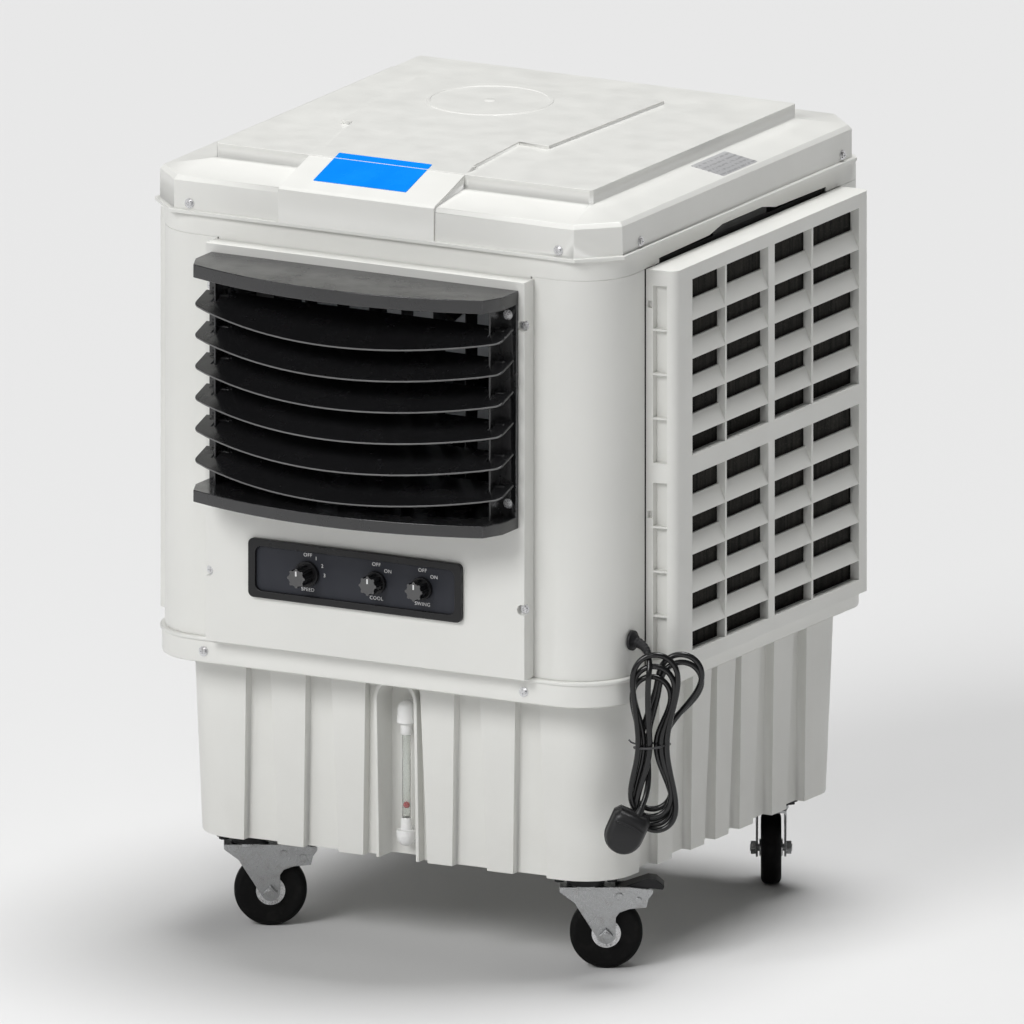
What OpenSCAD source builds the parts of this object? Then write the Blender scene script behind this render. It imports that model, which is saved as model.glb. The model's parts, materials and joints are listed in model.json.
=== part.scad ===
// Mobile evaporative cooler: water tank on casters, cabinet with three wet-pad cassettes,
// axial fan behind a louvred outlet, lid. Millimetres, +Z up, the outlet faces -Y.
// The origin is on the floor, at the centre of the footprint.

/* [Lid] */
// Width over the lip of the lid
lid_w = 734; // [726:2:760]
// Depth over the lip of the lid
lid_d = 766; // [760:2:800]
// Height of the lid's upright wall
lid_wall_h = 51; // [40:1:60]
// Height of the raised top above the lid's sloping margin
plateau_h = 20; // [12:1:24]

/* [Cabinet] */
// Width over the side faces of the corner posts
cab_w = 720; // [700:2:722]
// Depth over the front and rear faces of the corner posts
cab_d = 750; // [740:2:752]
// Corner radius of the front posts
front_r = 80; // [60:1:90]
// Corner radius of the rear posts
rear_r = 45; // [35:1:50]
// Height of the underside of the lid above the floor
cab_top = 1025; // [1020:1:1035]
// Wall thickness of the moulded posts, cover and lid
skin = 3; // [2.5:0.5:4]

/* [Tank] */
// Width and depth of the tank at its rim
tank_w = 678; // [660:2:690]
// Distance that the tank sits behind the cabinet's centre
tank_back = 13.5; // [0:0.5:15]
// Slope of the tank's walls, as inset at the floor of the tank
tank_draft = 9; // [4:1:14]
// Depth of the channels between the tank's stiffening panels
channel_d = 14; // [8:1:16]

/* [Cassettes] */
// Width of a pad cassette
cassette_w = 556; // [540:2:560]
// Height of a pad cassette
cassette_h = 564; // [550:2:566]
// Distance that a cassette stands proud of the posts
cassette_d = 45; // [38:1:50]
// Number of air slots above and below the middle rail
slot_rows = 5; // [3:1:6]
// Distance that the side cassettes sit behind the cabinet's centre
cassette_back = 18; // [10:1:20]

/* [Outlet] */
// Width of the louvre frame
louvre_w = 480; // [470:2:484]
// Height of the bottom edge of the louvre frame
louvre_z0 = 647; // [640:1:650]
// Height of the top edge of the louvre frame
louvre_z1 = 982; // [978:1:984]
// Number of horizontal vanes
vane_count = 6;
// Spacing of the horizontal vanes
vane_pitch = 44; // [42:1:45]
// Downward tilt of the horizontal vanes at rest
vane_tilt = 18.5; // [12:0.5:22]
// Number of upright swing vanes
swing_count = 7;
// Spacing of the upright swing vanes
swing_pitch = 50; // [44:1:52]

/* [Fan] */
// Radius of the fan's blade tips
fan_r = 196; // [180:1:198]
// Number of fan blades
blade_count = 6; // [4:1:8]

/* [Casters] */
// Height of a caster
caster_h = 135; // [130:1:140]
// Radius of a caster wheel
wheel_r = 50;
// Width of the tyre
tyre_w = 28; // [24:1:30]
// Offset of the wheel's axle from the swivel axis
trail = 28; // [24:1:32]
// Angle of the front casters as they stand
front_yaw = 29; // [0:1:360]
// Angle of the rear casters as they stand
rear_yaw = 119; // [0:1:360]

/* [Hidden] */
$fn = 48;

shell_color = [0.90, 0.90, 0.87];
black = [0.07, 0.07, 0.075];
charcoal = [0.12, 0.12, 0.125];
zinc = [0.66, 0.67, 0.68];

// The louvres reach further forward than the rear cassette reaches back, so the
// cabinet's centre is behind the centre of the footprint.
louvre_reach = 524;
rear_reach = cab_d / 2 + cassette_d;
cab_y = (louvre_reach - rear_reach) / 2;

hx = cab_w / 2;
hy = cab_d / 2;
eps = 0.01;
pin_gap = 0.05;

// ---------- outlines ----------
function arc(cx, cy, r, from, sweep = 90, n = 10) =
  [for (i = [0:n]) [cx + r * cos(from + sweep * i / n), cy + r * sin(from + sweep * i / n)]];

// Rounded rectangle with its own radius at the front and at the rear corners
function plan(x, y, rf, rr, n = 10) = concat(
  arc(x - rr, y - rr, rr, 0, 90, n), arc(-x + rr, y - rr, rr, 90, 90, n),
  arc(-x + rf, -y + rf, rf, 180, 90, n), arc(x - rf, -y + rf, rf, 270, 90, n));

// Rectangle with cut corners
function octagon(x, y, c) = [
  [x, y - c], [x - c, y], [-x + c, y], [-x, y - c],
  [-x, -y + c], [-x + c, -y], [x - c, -y], [x, -y + c]];

// Rectangle with rounded corners, centred
function round_rect(w, h, r, n = 5) = plan(w / 2, h / 2, r, r, n);

module prism(points, z0, z1) translate([0, 0, z0]) linear_extrude(z1 - z0) polygon(points);
module cabinet() translate([0, cab_y, 0]) children();
module box(x0, x1, y0, y1, z0, z1) translate([x0, y0, z0]) cube([x1 - x0, y1 - y0, z1 - z0]);
module rod_x(x0, x1, y, z, r) translate([x0, y, z]) rotate([0, 90, 0]) cylinder(h = x1 - x0, r = r);
module rod_y(y0, y1, x, z, r) translate([x, y0, z]) rotate([-90, 0, 0]) cylinder(h = y1 - y0, r = r);
module rod_z(z0, z1, x, y, r) translate([x, y, z0]) cylinder(h = z1 - z0, r = r);
// Outline in x and z, extruded from y0 to y1
module slab_y(points, y0, y1) translate([0, y1, 0]) rotate([90, 0, 0])
  linear_extrude(y1 - y0) polygon(points);
// Outline in y and z, extruded from x0 to x1
module slab_x(points, x0, x1) translate([x0, 0, 0]) rotate([90, 0, 90])
  linear_extrude(x1 - x0) polygon(points);

// ---------- screws ----------
screw_r = 2.5;
screw_grip = 9;
band_z = 411;
lid_screw_z = cab_top + 14;
lid_face_y = lid_d / 2 - 6;
lid_face_x = lid_w / 2 - 6;
band_face = 4;
// Each screw has a place on its face and the angle of its outward normal
lid_screws = [
  [-288, -lid_face_y, lid_screw_z, -90], [288, -lid_face_y, lid_screw_z, -90],
  [-288, lid_face_y, lid_screw_z, 90], [288, lid_face_y, lid_screw_z, 90],
  [lid_face_x, -277, lid_screw_z, 0], [lid_face_x, 300, lid_screw_z, 0],
  [-lid_face_x, -277, lid_screw_z, 180], [-lid_face_x, 300, lid_screw_z, 180]];
band_screws = [
  [-265, -hy - band_face, band_z, -90], [235, -hy - band_face, band_z, -90],
  [-250, hy + band_face, band_z, 90], [250, hy + band_face, band_z, 90]];
cover_y = -403;
notch_floor_y = cover_y + 10;
notch_x = 244.5;
notch_r = 7;
cover_screws = [
  [notch_x, notch_floor_y, 932, -90], [notch_x, notch_floor_y, 532, -90],
  [-notch_x, notch_floor_y, 932, -90], [-notch_x, notch_floor_y, 532, -90]];
flange_y = cover_y - 6;
louvre_screws = [
  [227, flange_y, 948, -90], [227, flange_y, 682, -90],
  [-227, flange_y, 948, -90], [-227, flange_y, 682, -90]];

module at_screw(s) translate([s[0], s[1], s[2]]) rotate([0, 0, s[3]]) rotate([0, 90, 0]) children();
module screw_holes(list) for (s = list) at_screw(s)
  translate([0, 0, -screw_grip - 1]) cylinder(h = screw_grip + 3, r = screw_r);
module screw(s) at_screw(s) {
  translate([0, 0, -screw_grip]) cylinder(h = screw_grip, r = screw_r);
  difference() {
    union() {
      cylinder(h = 1.2, r = 7);
      cylinder(h = 4, r = 4.4);
    }
    translate([-3.2, -0.6, 2.8]) cube([6.4, 1.2, 2]);
    translate([-0.6, -3.2, 2.8]) cube([1.2, 6.4, 2]);
  }
}
module case_screws() color(zinc) cabinet()
  for (s = concat(lid_screws, band_screws, cover_screws, louvre_screws)) screw(s);

// ---------- tank ----------
tank_z0 = caster_h;
rim_z = 428;
tank_wall = 5;
tx = tank_w / 2;
tank_front_r = 72;
tank_rear_r = 45;
niche_x0 = -25;
niche_x1 = 32;
niche_depth = 45;
niche_top = 388;
niche_r = (niche_x1 - niche_x0) / 2;
panel_mid = [41, 98, 134, 193];
panel_taper = 9;
corner_panel_x = 227;

module drafted(inset) hull() {
  prism(plan(tx - inset, tx - inset, tank_front_r - inset, tank_rear_r - inset, 6),
        rim_z - 1, rim_z);
  prism(plan(tx - tank_draft - inset, tx - tank_draft - inset,
             tank_front_r - inset, tank_rear_r - inset, 6), tank_z0, tank_z0 + 1);
}
// Trapezoid that narrows towards the bottom, standing on the face at -Y
module panel(x0, x1) slab_y([
  [x0 + panel_taper, tank_z0], [x1 - panel_taper, tank_z0],
  [x1, rim_z], [x0, rim_z]], -tx - 1, -tx + channel_d + 20);
module side_panels(middle) {
  for (s = [-1, 1]) scale([s, 1, 1]) {
    panel(panel_mid[0], panel_mid[1]);
    panel(panel_mid[2], panel_mid[3]);
    slab_y([[corner_panel_x + panel_taper, tank_z0], [tx + 1, tank_z0], [tx + 1, rim_z],
            [corner_panel_x, rim_z]], -tx - 1, -tx + channel_d + 20);
  }
  if (middle) panel(-28, 28);
}
module niche_space(grow, depth) slab_y(concat(
  [[niche_x1 + grow, tank_z0 - 1]],
  arc((niche_x0 + niche_x1) / 2, niche_top - niche_r, niche_r + grow, 0, 180, 12),
  [[niche_x0 - grow, tank_z0 - 1]]),
  -tx - 2, -tx + depth);

module tank() color(shell_color) cabinet() translate([0, tank_back, 0]) difference() {
  union() {
    difference() {
      union() {
        drafted(channel_d);
        intersection() {
          drafted(0);
          union() {
            side_panels(false);
            for (a = [90, 180, 270]) rotate([0, 0, a]) side_panels(true);
          }
        }
      }
      intersection() {
        drafted(channel_d + tank_wall);
        box(-tx, tx, -tx, tx, tank_z0 + 6, rim_z + 1);
      }
    }
    intersection() {
      drafted(0);
      niche_space(tank_wall, niche_depth + tank_wall);
      box(-tx, tx, -tx, tx, tank_z0, rim_z);
    }
  }
  niche_space(0, niche_depth);
  box(-tx, tx, -tx - 20, -tx + channel_d + 1, rim_z, rim_z + 5);
  rod_y(-tx, -tx + 80, gauge_x, gauge_z0, fitting_r);
  rod_y(-tx, -tx + 80, gauge_x, gauge_z1, fitting_r);
  rod_y(tx - 40, tx + 5, 0, drain_z, drain_r);
  rod_x(-tx - 5, -tx + 40, inlet_y, inlet_z, inlet_r);
}

drain_z = 165;
drain_r = 13;
module drain_plug() color(charcoal) cabinet() translate([0, tank_back, 0]) {
  face = tx - 8;
  rod_y(face - 24, face + 9, 0, drain_z, drain_r);
  difference() {
    rod_y(face + 9, face + 16, 0, drain_z, 19);
    rod_y(face + 13, face + 17, 0, drain_z, 9);
  }
  for (a = [0:60:300]) translate([0, face + 9, drain_z]) rotate([-90, a, 0])
    translate([18, -3, 0]) cube([4, 6, 7]);
}

// ---------- level gauge ----------
gauge_x = 10;
gauge_y = -tx + niche_depth - 22;
gauge_z0 = 165;
gauge_z1 = 345;
fitting_r = 8;
tube_r = 6;
tube_bore = 4.9;
collar_r = 8.5;
module elbow(z, up) {
  translate([gauge_x, gauge_y, z]) sphere(r = 12);
  rod_y(gauge_y, -tx + niche_depth, gauge_x, z, 11);
  rod_y(-tx + niche_depth - 2, -tx + niche_depth + tank_wall + 6, gauge_x, z, fitting_r);
  difference() {
    rod_z(up ? z : z - 38, up ? z + 38 : z, gauge_x, gauge_y, collar_r);
    rod_z(up ? z + 20 : z - 39, up ? z + 39 : z - 20, gauge_x, gauge_y, tube_r);
  }
}
module level_fittings() color("white") cabinet() translate([0, tank_back, 0]) {
  elbow(gauge_z0, true);
  elbow(gauge_z1, false);
}
module level_tube() color([0.9, 0.95, 0.95, 0.4]) cabinet() translate([0, tank_back, 0])
  difference() {
    rod_z(gauge_z0 + 20, gauge_z1 - 20, gauge_x, gauge_y, tube_r);
    rod_z(gauge_z0 + 24, gauge_z1 - 19, gauge_x, gauge_y, tube_bore);
  }
float_z = gauge_z0 + 40;
module level_float() color("red") cabinet() translate([gauge_x, gauge_y + tank_back, float_z])
  cylinder(h = 10, r = 4.4);

// ---------- float valve ----------
inlet_y = 116;
inlet_z = 365;
inlet_r = 10.4;
inlet_len = 24;
valve_x = -tx + channel_d + 22;
arm_len = 110;
// The arm hangs at its lower stop while the tank is empty
arm_drop = 35;
module float_valve() color("white") cabinet() translate([0, tank_back, 0]) {
  difference() {
    union() {
      rod_x(-tx - 12, inlet_len - tx - 12, inlet_y, inlet_z, inlet_r);
      rod_x(-tx, valve_x, inlet_y, inlet_z, inlet_r - 0.4);
    }
    rod_x(-tx - 13, valve_x - 8, inlet_y, inlet_z, 6);
  }
  difference() {
    rod_x(-tx + channel_d + 8, -tx + channel_d + 14, inlet_y, inlet_z, 16);
    rod_x(-tx + channel_d, -tx + channel_d + 15, inlet_y, inlet_z, inlet_r - 1);
  }
  difference() {
    for (s = [-1, 1]) box(valve_x - 2, valve_x + 16, inlet_y + s * 6.5 - 1.5,
                          inlet_y + s * 6.5 + 1.5, inlet_z - 7, inlet_z + 7);
    rod_y(inlet_y - 12, inlet_y + 12, valve_x + 9, inlet_z, 2.5 + pin_gap);
  }
}
module float_arm() color("white") cabinet() translate([0, tank_back, 0]) {
  translate([valve_x + 9, inlet_y, inlet_z]) rotate([0, arm_drop, 0]) {
    rod_y(-9, 9, 0, 0, 2.5);
    rod_y(-4, 4, 0, 0, 5);
    rod_x(3, arm_len, 0, 0, 3);
    translate([arm_len + 28, 0, 0]) sphere(r = 32);
  }
}

// ---------- base frame ----------
base_z0 = 395;
base_z1 = 432;
base_lip = 3;
frame_open = 300;
module base_frame() color(shell_color) cabinet() difference() {
  union() {
    prism(plan(hx + band_face, hy + band_face, front_r + 4, rear_r + 4), base_z0, base_z1);
    prism(plan(hx + band_face + base_lip, hy + band_face + base_lip, front_r + 7, rear_r + 7),
          base_z1 - 6, base_z1);
  }
  prism(plan(hx + band_face - skin, hy + band_face - skin, front_r + 1, rear_r + 1),
        base_z0 - 1, base_z1 - 4);
  translate([0, tank_back, 0])
    prism(plan(frame_open, frame_open, 40, 40, 5), base_z0, base_z1 + 1);
  screw_holes(band_screws);
}

// ---------- corner posts and top rails ----------
rail_h = 29;
post_z1 = cab_top - rail_h;
front_edge = 245;
cassette_front = cassette_back - cassette_w / 2;
cassette_end = cassette_back + cassette_w / 2;
rear_edge = cassette_w / 2 + 2;
module cabinet_skin(z0, z1) difference() {
  prism(plan(hx, hy, front_r, rear_r), z0, z1);
  prism(plan(hx - skin, hy - skin, front_r - skin, rear_r - skin), z0 - 1, z1 + 1);
}
module front_post() {
  intersection() {
    cabinet_skin(base_z1, post_z1);
    box(front_edge, hx + 1, -hy - 1, cassette_front - 2, base_z1, post_z1);
  }
  box(front_edge, front_edge + skin, -hy + skin - eps, -hy + 30, base_z1, post_z1);
  box(hx - 30, hx - skin + eps, cassette_front - 2 - skin, cassette_front - 2, base_z1, post_z1);
}
module rear_post() {
  intersection() {
    cabinet_skin(base_z1, post_z1);
    box(rear_edge, hx + 1, cassette_end + 2, hy + 1, base_z1, post_z1);
  }
  box(rear_edge, rear_edge + skin, hy - 30, hy - skin + eps, base_z1, post_z1);
  box(hx - 30, hx - skin + eps, cassette_end + 2, cassette_end + 2 + skin, base_z1, post_z1);
}
module corner_posts() color(shell_color) cabinet() for (s = [-1, 1]) scale([s, 1, 1]) {
  difference() {
    front_post();
    if (s > 0) rod_x(hx - 20, hx + 5, gland_y, gland_z, gland_stem_r);
  }
  rear_post();
}

// The side and rear rails have a long arched opening over the water trays
cut_half = 238;
hump_half = 95;
module arch_cut(y0, y1) slab_y([
  [-cut_half, post_z1 - 1], [cut_half, post_z1 - 1], [cut_half, post_z1 + 7],
  [hump_half, post_z1 + 9], [hump_half * 0.6, post_z1 + 17], [-hump_half * 0.6, post_z1 + 17],
  [-hump_half, post_z1 + 9], [-cut_half, post_z1 + 7]], y0, y1);
module top_rails() color(shell_color) cabinet() difference() {
  union() {
    cabinet_skin(post_z1, cab_top);
    intersection() {
      prism(plan(hx, hy, front_r, rear_r), cab_top - 3, cab_top);
      difference() {
        box(-hx, hx, -hy, hy, cab_top - 3, cab_top);
        box(-hx + 22, hx - 22, -hy + 22, hy - 22, cab_top - 4, cab_top + 1);
      }
    }
    box(1 - front_edge, front_edge - 1, -hy, skin - hy, cover_z1 - 3.5, post_z1 + 1);
  }
  translate([0, cassette_back, 0]) for (a = [90, -90]) rotate([0, 0, a]) arch_cut(hx - 10, hx + 5);
  arch_cut(hy - 10, hy + 5);
}

// ---------- lid ----------
lip_t = 5;
wall_in = 6;
chamfer = 49;
deck_edge_z = cab_top + lid_wall_h;
plateau_x = 294;
plateau_y = 292;
plateau_foot_z = deck_edge_z + 10;
plateau_z = plateau_foot_z + plateau_h;
panel_z = plateau_z + 5;
nose_x0 = -148;
nose_x1 = 95;
nose_back = -272;
module lid_form(inset, drop) {
  hull() {
    prism(octagon(lid_w / 2 - wall_in - inset, lid_d / 2 - wall_in - inset, chamfer - inset / 2),
          deck_edge_z - 8 - drop, deck_edge_z - 6 - drop);
    prism(octagon(lid_w / 2 - wall_in - 5 - inset, lid_d / 2 - wall_in - 5 - inset,
                  chamfer - 2 - inset / 2), deck_edge_z - drop - 1, deck_edge_z - drop);
    prism(octagon(plateau_x - inset, plateau_y - inset, 6), deck_edge_z - drop,
          plateau_foot_z - drop);
  }
  prism(octagon(plateau_x - inset, plateau_y - inset, 4), deck_edge_z - drop, plateau_z - drop);
}
module central_panel() prism([
  [nose_x0 + 10, nose_back], [nose_x1 - 3, nose_back], [78, -105], [126, -108], [138, 200],
  [-228, 180], [-196, -112], [-178, -112]], plateau_z - 1, panel_z);
module nose() slab_x([
  [-lid_face_y - 3, cab_top + 4], [-lid_face_y - 3, deck_edge_z], [-lid_face_y + 1, deck_edge_z + 3],
  [nose_back, panel_z], [nose_back + 12, panel_z], [nose_back + 12, plateau_z - 6],
  [-lid_face_y + 1, cab_top + 4]], nose_x0, nose_x1);
module lid() color(shell_color) cabinet() difference() {
  union() {
    prism(octagon(lid_w / 2, lid_d / 2, chamfer + 2), cab_top, cab_top + lip_t);
    prism(octagon(lid_w / 2 - wall_in, lid_d / 2 - wall_in, chamfer), cab_top, deck_edge_z - 7);
    lid_form(0, 0);
    central_panel();
    nose();
  }
  lid_form(skin + 1, 4);
  prism(octagon(lid_w / 2 - wall_in - skin, lid_d / 2 - wall_in - skin, chamfer - 1),
        cab_top - 1, deck_edge_z - 11);
  screw_holes(lid_screws);
}

// ---------- front cover ----------
cover_half = 249;
cover_z0 = 433;
cover_z1 = 994;
duct_half = 216;
duct_z0 = 660;
duct_z1 = 968;
module front_cover() color(shell_color) cabinet() difference() {
  union() {
    difference() {
      box(-cover_half, cover_half, cover_y, -hy - 0.5, cover_z0, cover_z1);
      box(-cover_half + skin, cover_half - skin, cover_y + skin, -hy + 1,
          cover_z0 + skin, cover_z1 - skin);
    }
    for (s = cover_screws) intersection() {
      box(-cover_half, cover_half, cover_y, notch_floor_y + skin, s[2] - 10, s[2] + 10);
      box(s[0] > 0 ? 235 : -cover_half, s[0] > 0 ? cover_half : -235, cover_y,
          notch_floor_y + skin, cover_z0, cover_z1);
    }
  }
  for (s = cover_screws) {
    rod_y(cover_y - 1, notch_floor_y, s[0], s[2], notch_r);
    box(s[0] > 0 ? s[0] : -cover_half - 1, s[0] > 0 ? cover_half + 1 : s[0],
        cover_y - 1, notch_floor_y, s[2] - notch_r, s[2] + notch_r);
  }
  screw_holes(cover_screws);
  screw_holes(louvre_screws);
  box(-duct_half - 0.5, duct_half + 0.5, cover_y - 1, cover_y + skin + 1,
      duct_z0 - 0.5, duct_z1 + 0.5);
  box(bezel_x0 + 12, bezel_x1 - 12, cover_y - 1, cover_y + skin + 1,
      bezel_z - 28, bezel_z + 28);
}

// ---------- control panel ----------
bezel_x0 = -179;
bezel_x1 = 154;
bezel_z = 546;
bezel_h = 83;
bezel_mid = (bezel_x0 + bezel_x1) / 2;
bezel_w = bezel_x1 - bezel_x0;
face_y = cover_y - 2;
// Each knob has its place, skirt radius and length
knobs = [[-88, 18, 34], [19, 16, 26], [91, 16, 26]];
shaft_r = 3;
module at_bezel() translate([bezel_mid, 0, bezel_z]) children();
module control_bezel() color(charcoal) cabinet() difference() {
  at_bezel() union() {
    slab_y(round_rect(bezel_w, bezel_h, 8), cover_y - 7, cover_y);
    slab_y(round_rect(bezel_w - 26, 54, 6), cover_y - 1, cover_y + 6);
  }
  at_bezel() slab_y(round_rect(bezel_w - 22, bezel_h - 20, 10), cover_y - 8, face_y);
  for (k = knobs) rod_y(face_y - 1, cover_y + 7, k[0], bezel_z, 4.5);
}
module knob(k) color(black) cabinet() {
  rod_y(face_y - 7, face_y - 0.6, k[0], bezel_z, k[1]);
  rod_y(face_y - k[2], face_y - 6, k[0], bezel_z, 11.5);
  for (a = [0:45:315]) rod_y(face_y - k[2], face_y - 6, k[0] + 11.5 * sin(a),
                             bezel_z + 11.5 * cos(a), 2.4);
  rod_y(face_y - 1, cover_y + 18, k[0], bezel_z, shaft_r);
}
module knob_speed() knob(knobs[0]);
module knob_cool() knob(knobs[1]);
module knob_swing() knob(knobs[2]);
module rotary_switches() color([0.25, 0.25, 0.27]) cabinet() for (k = knobs) difference() {
  union() {
    box(k[0] - 16, k[0] + 16, cover_y + 9, cover_y + 26, bezel_z - 16, bezel_z + 16);
    rod_y(cover_y + 6, cover_y + 10, k[0], bezel_z, 7);
    for (s = [-8, 0, 8]) box(k[0] + s - 2, k[0] + s + 2, cover_y + 25, cover_y + 34,
                             bezel_z - 0.5, bezel_z + 0.5);
  }
  rod_y(cover_y + 5, cover_y + 20, k[0], bezel_z, shaft_r + pin_gap);
}

// ---------- louvre frame ----------
frame_front_y = -480;
frame_front_x = 226;
frame_bow = 44;
duct_rear_y = -322;
cheek_x0 = 213;
cheek_x1 = 216;
cheek_y = -440;
vane_y = -425;
vane_z1 = 927.5;
pin_r = 3;
// Front edge that bows forward between two ends
function bow(x, y, depth, n = 16) = [for (i = [0:n])
  [x * (2 * i / n - 1), y - depth * (1 - pow(2 * i / n - 1, 2))]];
hood_plan = concat([[louvre_w / 2, flange_y + 2], [-louvre_w / 2, flange_y + 2],
  [-louvre_w / 2, -448]], bow(frame_front_x, frame_front_y, frame_bow), [[louvre_w / 2, -448]]);
function vane_z(i) = vane_z1 - vane_pitch * i;
function swing_x(i) = (i - (swing_count - 1) / 2) * swing_pitch;
swing_y = -374;
swing_pin_r = 2.5;
lug_back = 12;
module louvre_frame() color(charcoal) cabinet() difference() {
  union() {
    difference() {
      box(-louvre_w / 2, louvre_w / 2, flange_y, cover_y, louvre_z0, louvre_z1);
      box(-duct_half + skin, duct_half - skin, flange_y - 1, cover_y + 1,
          duct_z0 + skin, duct_z1 - skin);
    }
    difference() {
      box(-duct_half, duct_half, cover_y - 1, duct_rear_y, duct_z0, duct_z1);
      box(-duct_half + skin, duct_half - skin, cover_y - 2, duct_rear_y + 1,
          duct_z0 + skin, duct_z1 - skin);
    }
    prism(hood_plan, duct_z1 - skin - 2, louvre_z1);
    prism(hood_plan, louvre_z0, duct_z0 + skin + 1);
    for (s = [-1, 1]) scale([s, 1, 1])
      box(cheek_x0, cheek_x1, cheek_y, flange_y + 20, duct_z0 + 1, duct_z1 - 1);
  }
  for (i = [0:vane_count - 1]) rod_x(-cheek_x1 - 1, cheek_x1 + 1, vane_y, vane_z(i), pin_r + pin_gap);
  for (i = [0:swing_count - 1])
    rod_z(duct_z0 - 1, duct_z1 + 1, swing_x(i), swing_y, swing_pin_r + pin_gap);
  screw_holes(louvre_screws);
}

// Horizontal vane about its pivot: bowed front, slots round the cheeks, notch for the link
vane_t = 3;
link_x = -203.5;
vane_front = -32;
vane_bow = 58;
lug_r = 1.5;
module vane(i) color(charcoal) cabinet() translate([0, vane_y, vane_z(i)]) rotate([vane_tilt, 0, 0]) {
  difference() {
    prism(concat([[240, 9], [-240, 9]], [[-240, vane_front + 1]],
                 bow(238, vane_front - 1, vane_bow, 20), [[240, vane_front + 1]]),
          -vane_t / 2, vane_t / 2);
    for (s = [-1, 1]) scale([s, 1, 1])
      box(cheek_x0 - 2, cheek_x1 + 2, -19, 20, -vane_t, vane_t);
    box(link_x - 5, link_x + 5, 2.5, 20, -vane_t, vane_t);
  }
  for (s = [-1, 1]) scale([s, 1, 1]) rod_x(cheek_x0 - 14, cheek_x1 + 14, 0, 0, pin_r);
  for (s = [-1, 1]) box(link_x + s * 6.5 - 1.5, link_x + s * 6.5 + 1.5, 0, 14, -2.5, 2.5);
  rod_x(link_x - 7, link_x + 7, 11, 0, lug_r);
}
module vane_1() vane(0);
module vane_2() vane(1);
module vane_3() vane(2);
module vane_4() vane(3);
module vane_5() vane(4);
module vane_6() vane(5);

lug_y = vane_y + 11 * cos(vane_tilt);
lug_dz = 11 * sin(vane_tilt);
module vane_link() color(charcoal) cabinet() difference() {
  box(link_x - 2, link_x + 2, lug_y - 3.5, lug_y + 3.5,
      vane_z(vane_count - 1) + lug_dz - 6, vane_z(0) + lug_dz + 6);
  for (i = [0:vane_count - 1])
    rod_x(link_x - 3, link_x + 3, lug_y, vane_z(i) + lug_dz, lug_r + pin_gap);
}

// Upright swing vane about its own pivot
swing_z0 = 672;
swing_z1 = 950;
link_z = 953.5;
module swing_vane(i) color(black) cabinet() translate([swing_x(i), swing_y, 0]) {
  prism([[1.25, -14], [1.25, 16], [-1.25, 16], [-1.25, -14], [-0.6, -16], [0.6, -16]],
        swing_z0, swing_z1);
  rod_z(swing_z0 - 9, swing_z0 + 6, 0, 0, swing_pin_r);
  rod_z(swing_z1 - 6, duct_z1 - 1, 0, 0, swing_pin_r);
  rod_z(swing_z1 - 6, link_z + 5, 0, lug_back, lug_r);
}
module swing_vane_1() swing_vane(0);
module swing_vane_2() swing_vane(1);
module swing_vane_3() swing_vane(2);
module swing_vane_4() swing_vane(3);
module swing_vane_5() swing_vane(4);
module swing_vane_6() swing_vane(5);
module swing_vane_7() swing_vane(6);
module swing_link() color(black) cabinet() difference() {
  box(swing_x(0) - 8, swing_x(swing_count - 1) + 8, swing_y + lug_back - 4,
      swing_y + lug_back + 4, link_z, link_z + 3);
  for (i = [0:swing_count - 1])
    rod_z(link_z - 1, link_z + 4, swing_x(i), swing_y + lug_back, lug_r + pin_gap);
}
module swing_motor() color(zinc) cabinet() {
  rod_z(duct_z1, duct_z1 + 22, 190, swing_y + 10, 22);
  rod_z(duct_z1 + 22, duct_z1 + 26, 190, swing_y + 10, 6);
}

// ---------- fan ----------
fan_z = 812;
ring_r = 203;
ring_y0 = duct_rear_y;
ring_y1 = ring_y0 + 92;
hub_y = ring_y0 + 52;
fan_shaft_r = 8;
module fan_ring() color(shell_color) cabinet() difference() {
  union() {
    box(-250, 250, ring_y0, ring_y0 + 4, 600, 1018);
    rod_y(ring_y0, ring_y1, 0, fan_z, ring_r + 4);
  }
  rod_y(ring_y0 - 1, ring_y1 + 1, 0, fan_z, ring_r);
}
module fan() color([0.82, 0.84, 0.86]) cabinet() translate([0, hub_y, fan_z]) {
  rod_y(-28, 28, 0, 0, 52);
  rod_y(-40, 95, 0, 0, fan_shaft_r);
  for (i = [0:blade_count - 1]) rotate([0, i * 360 / blade_count, 0])
    rotate([0, 0, 28]) translate([0, 2, 0]) rotate([90, 0, 0]) linear_extrude(4)
      polygon([[-24, 44], [24, 44], [52, 150], [44, fan_r - 16], [24, fan_r - 6],
               [-38, fan_r - 14], [-50, fan_r - 34]]);
}
motor_y0 = hub_y + 46;
motor_r = 66;
module fan_motor() color([0.33, 0.35, 0.38]) cabinet() difference() {
  union() {
    rod_y(motor_y0, motor_y0 + 96, 0, fan_z, motor_r);
    rod_y(motor_y0 - 8, motor_y0 + 1, 0, fan_z, 26);
    rod_y(motor_y0 + 95, motor_y0 + 104, 0, fan_z, 30);
    for (a = [0:30:330]) translate([0, 0, fan_z]) rotate([0, a, 0])
      box(motor_r - 2, motor_r + 5, motor_y0 + 22, motor_y0 + 88, -2, 2);
  }
  rod_y(motor_y0 - 20, motor_y0 + 60, 0, fan_z, fan_shaft_r + pin_gap);
}
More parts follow.
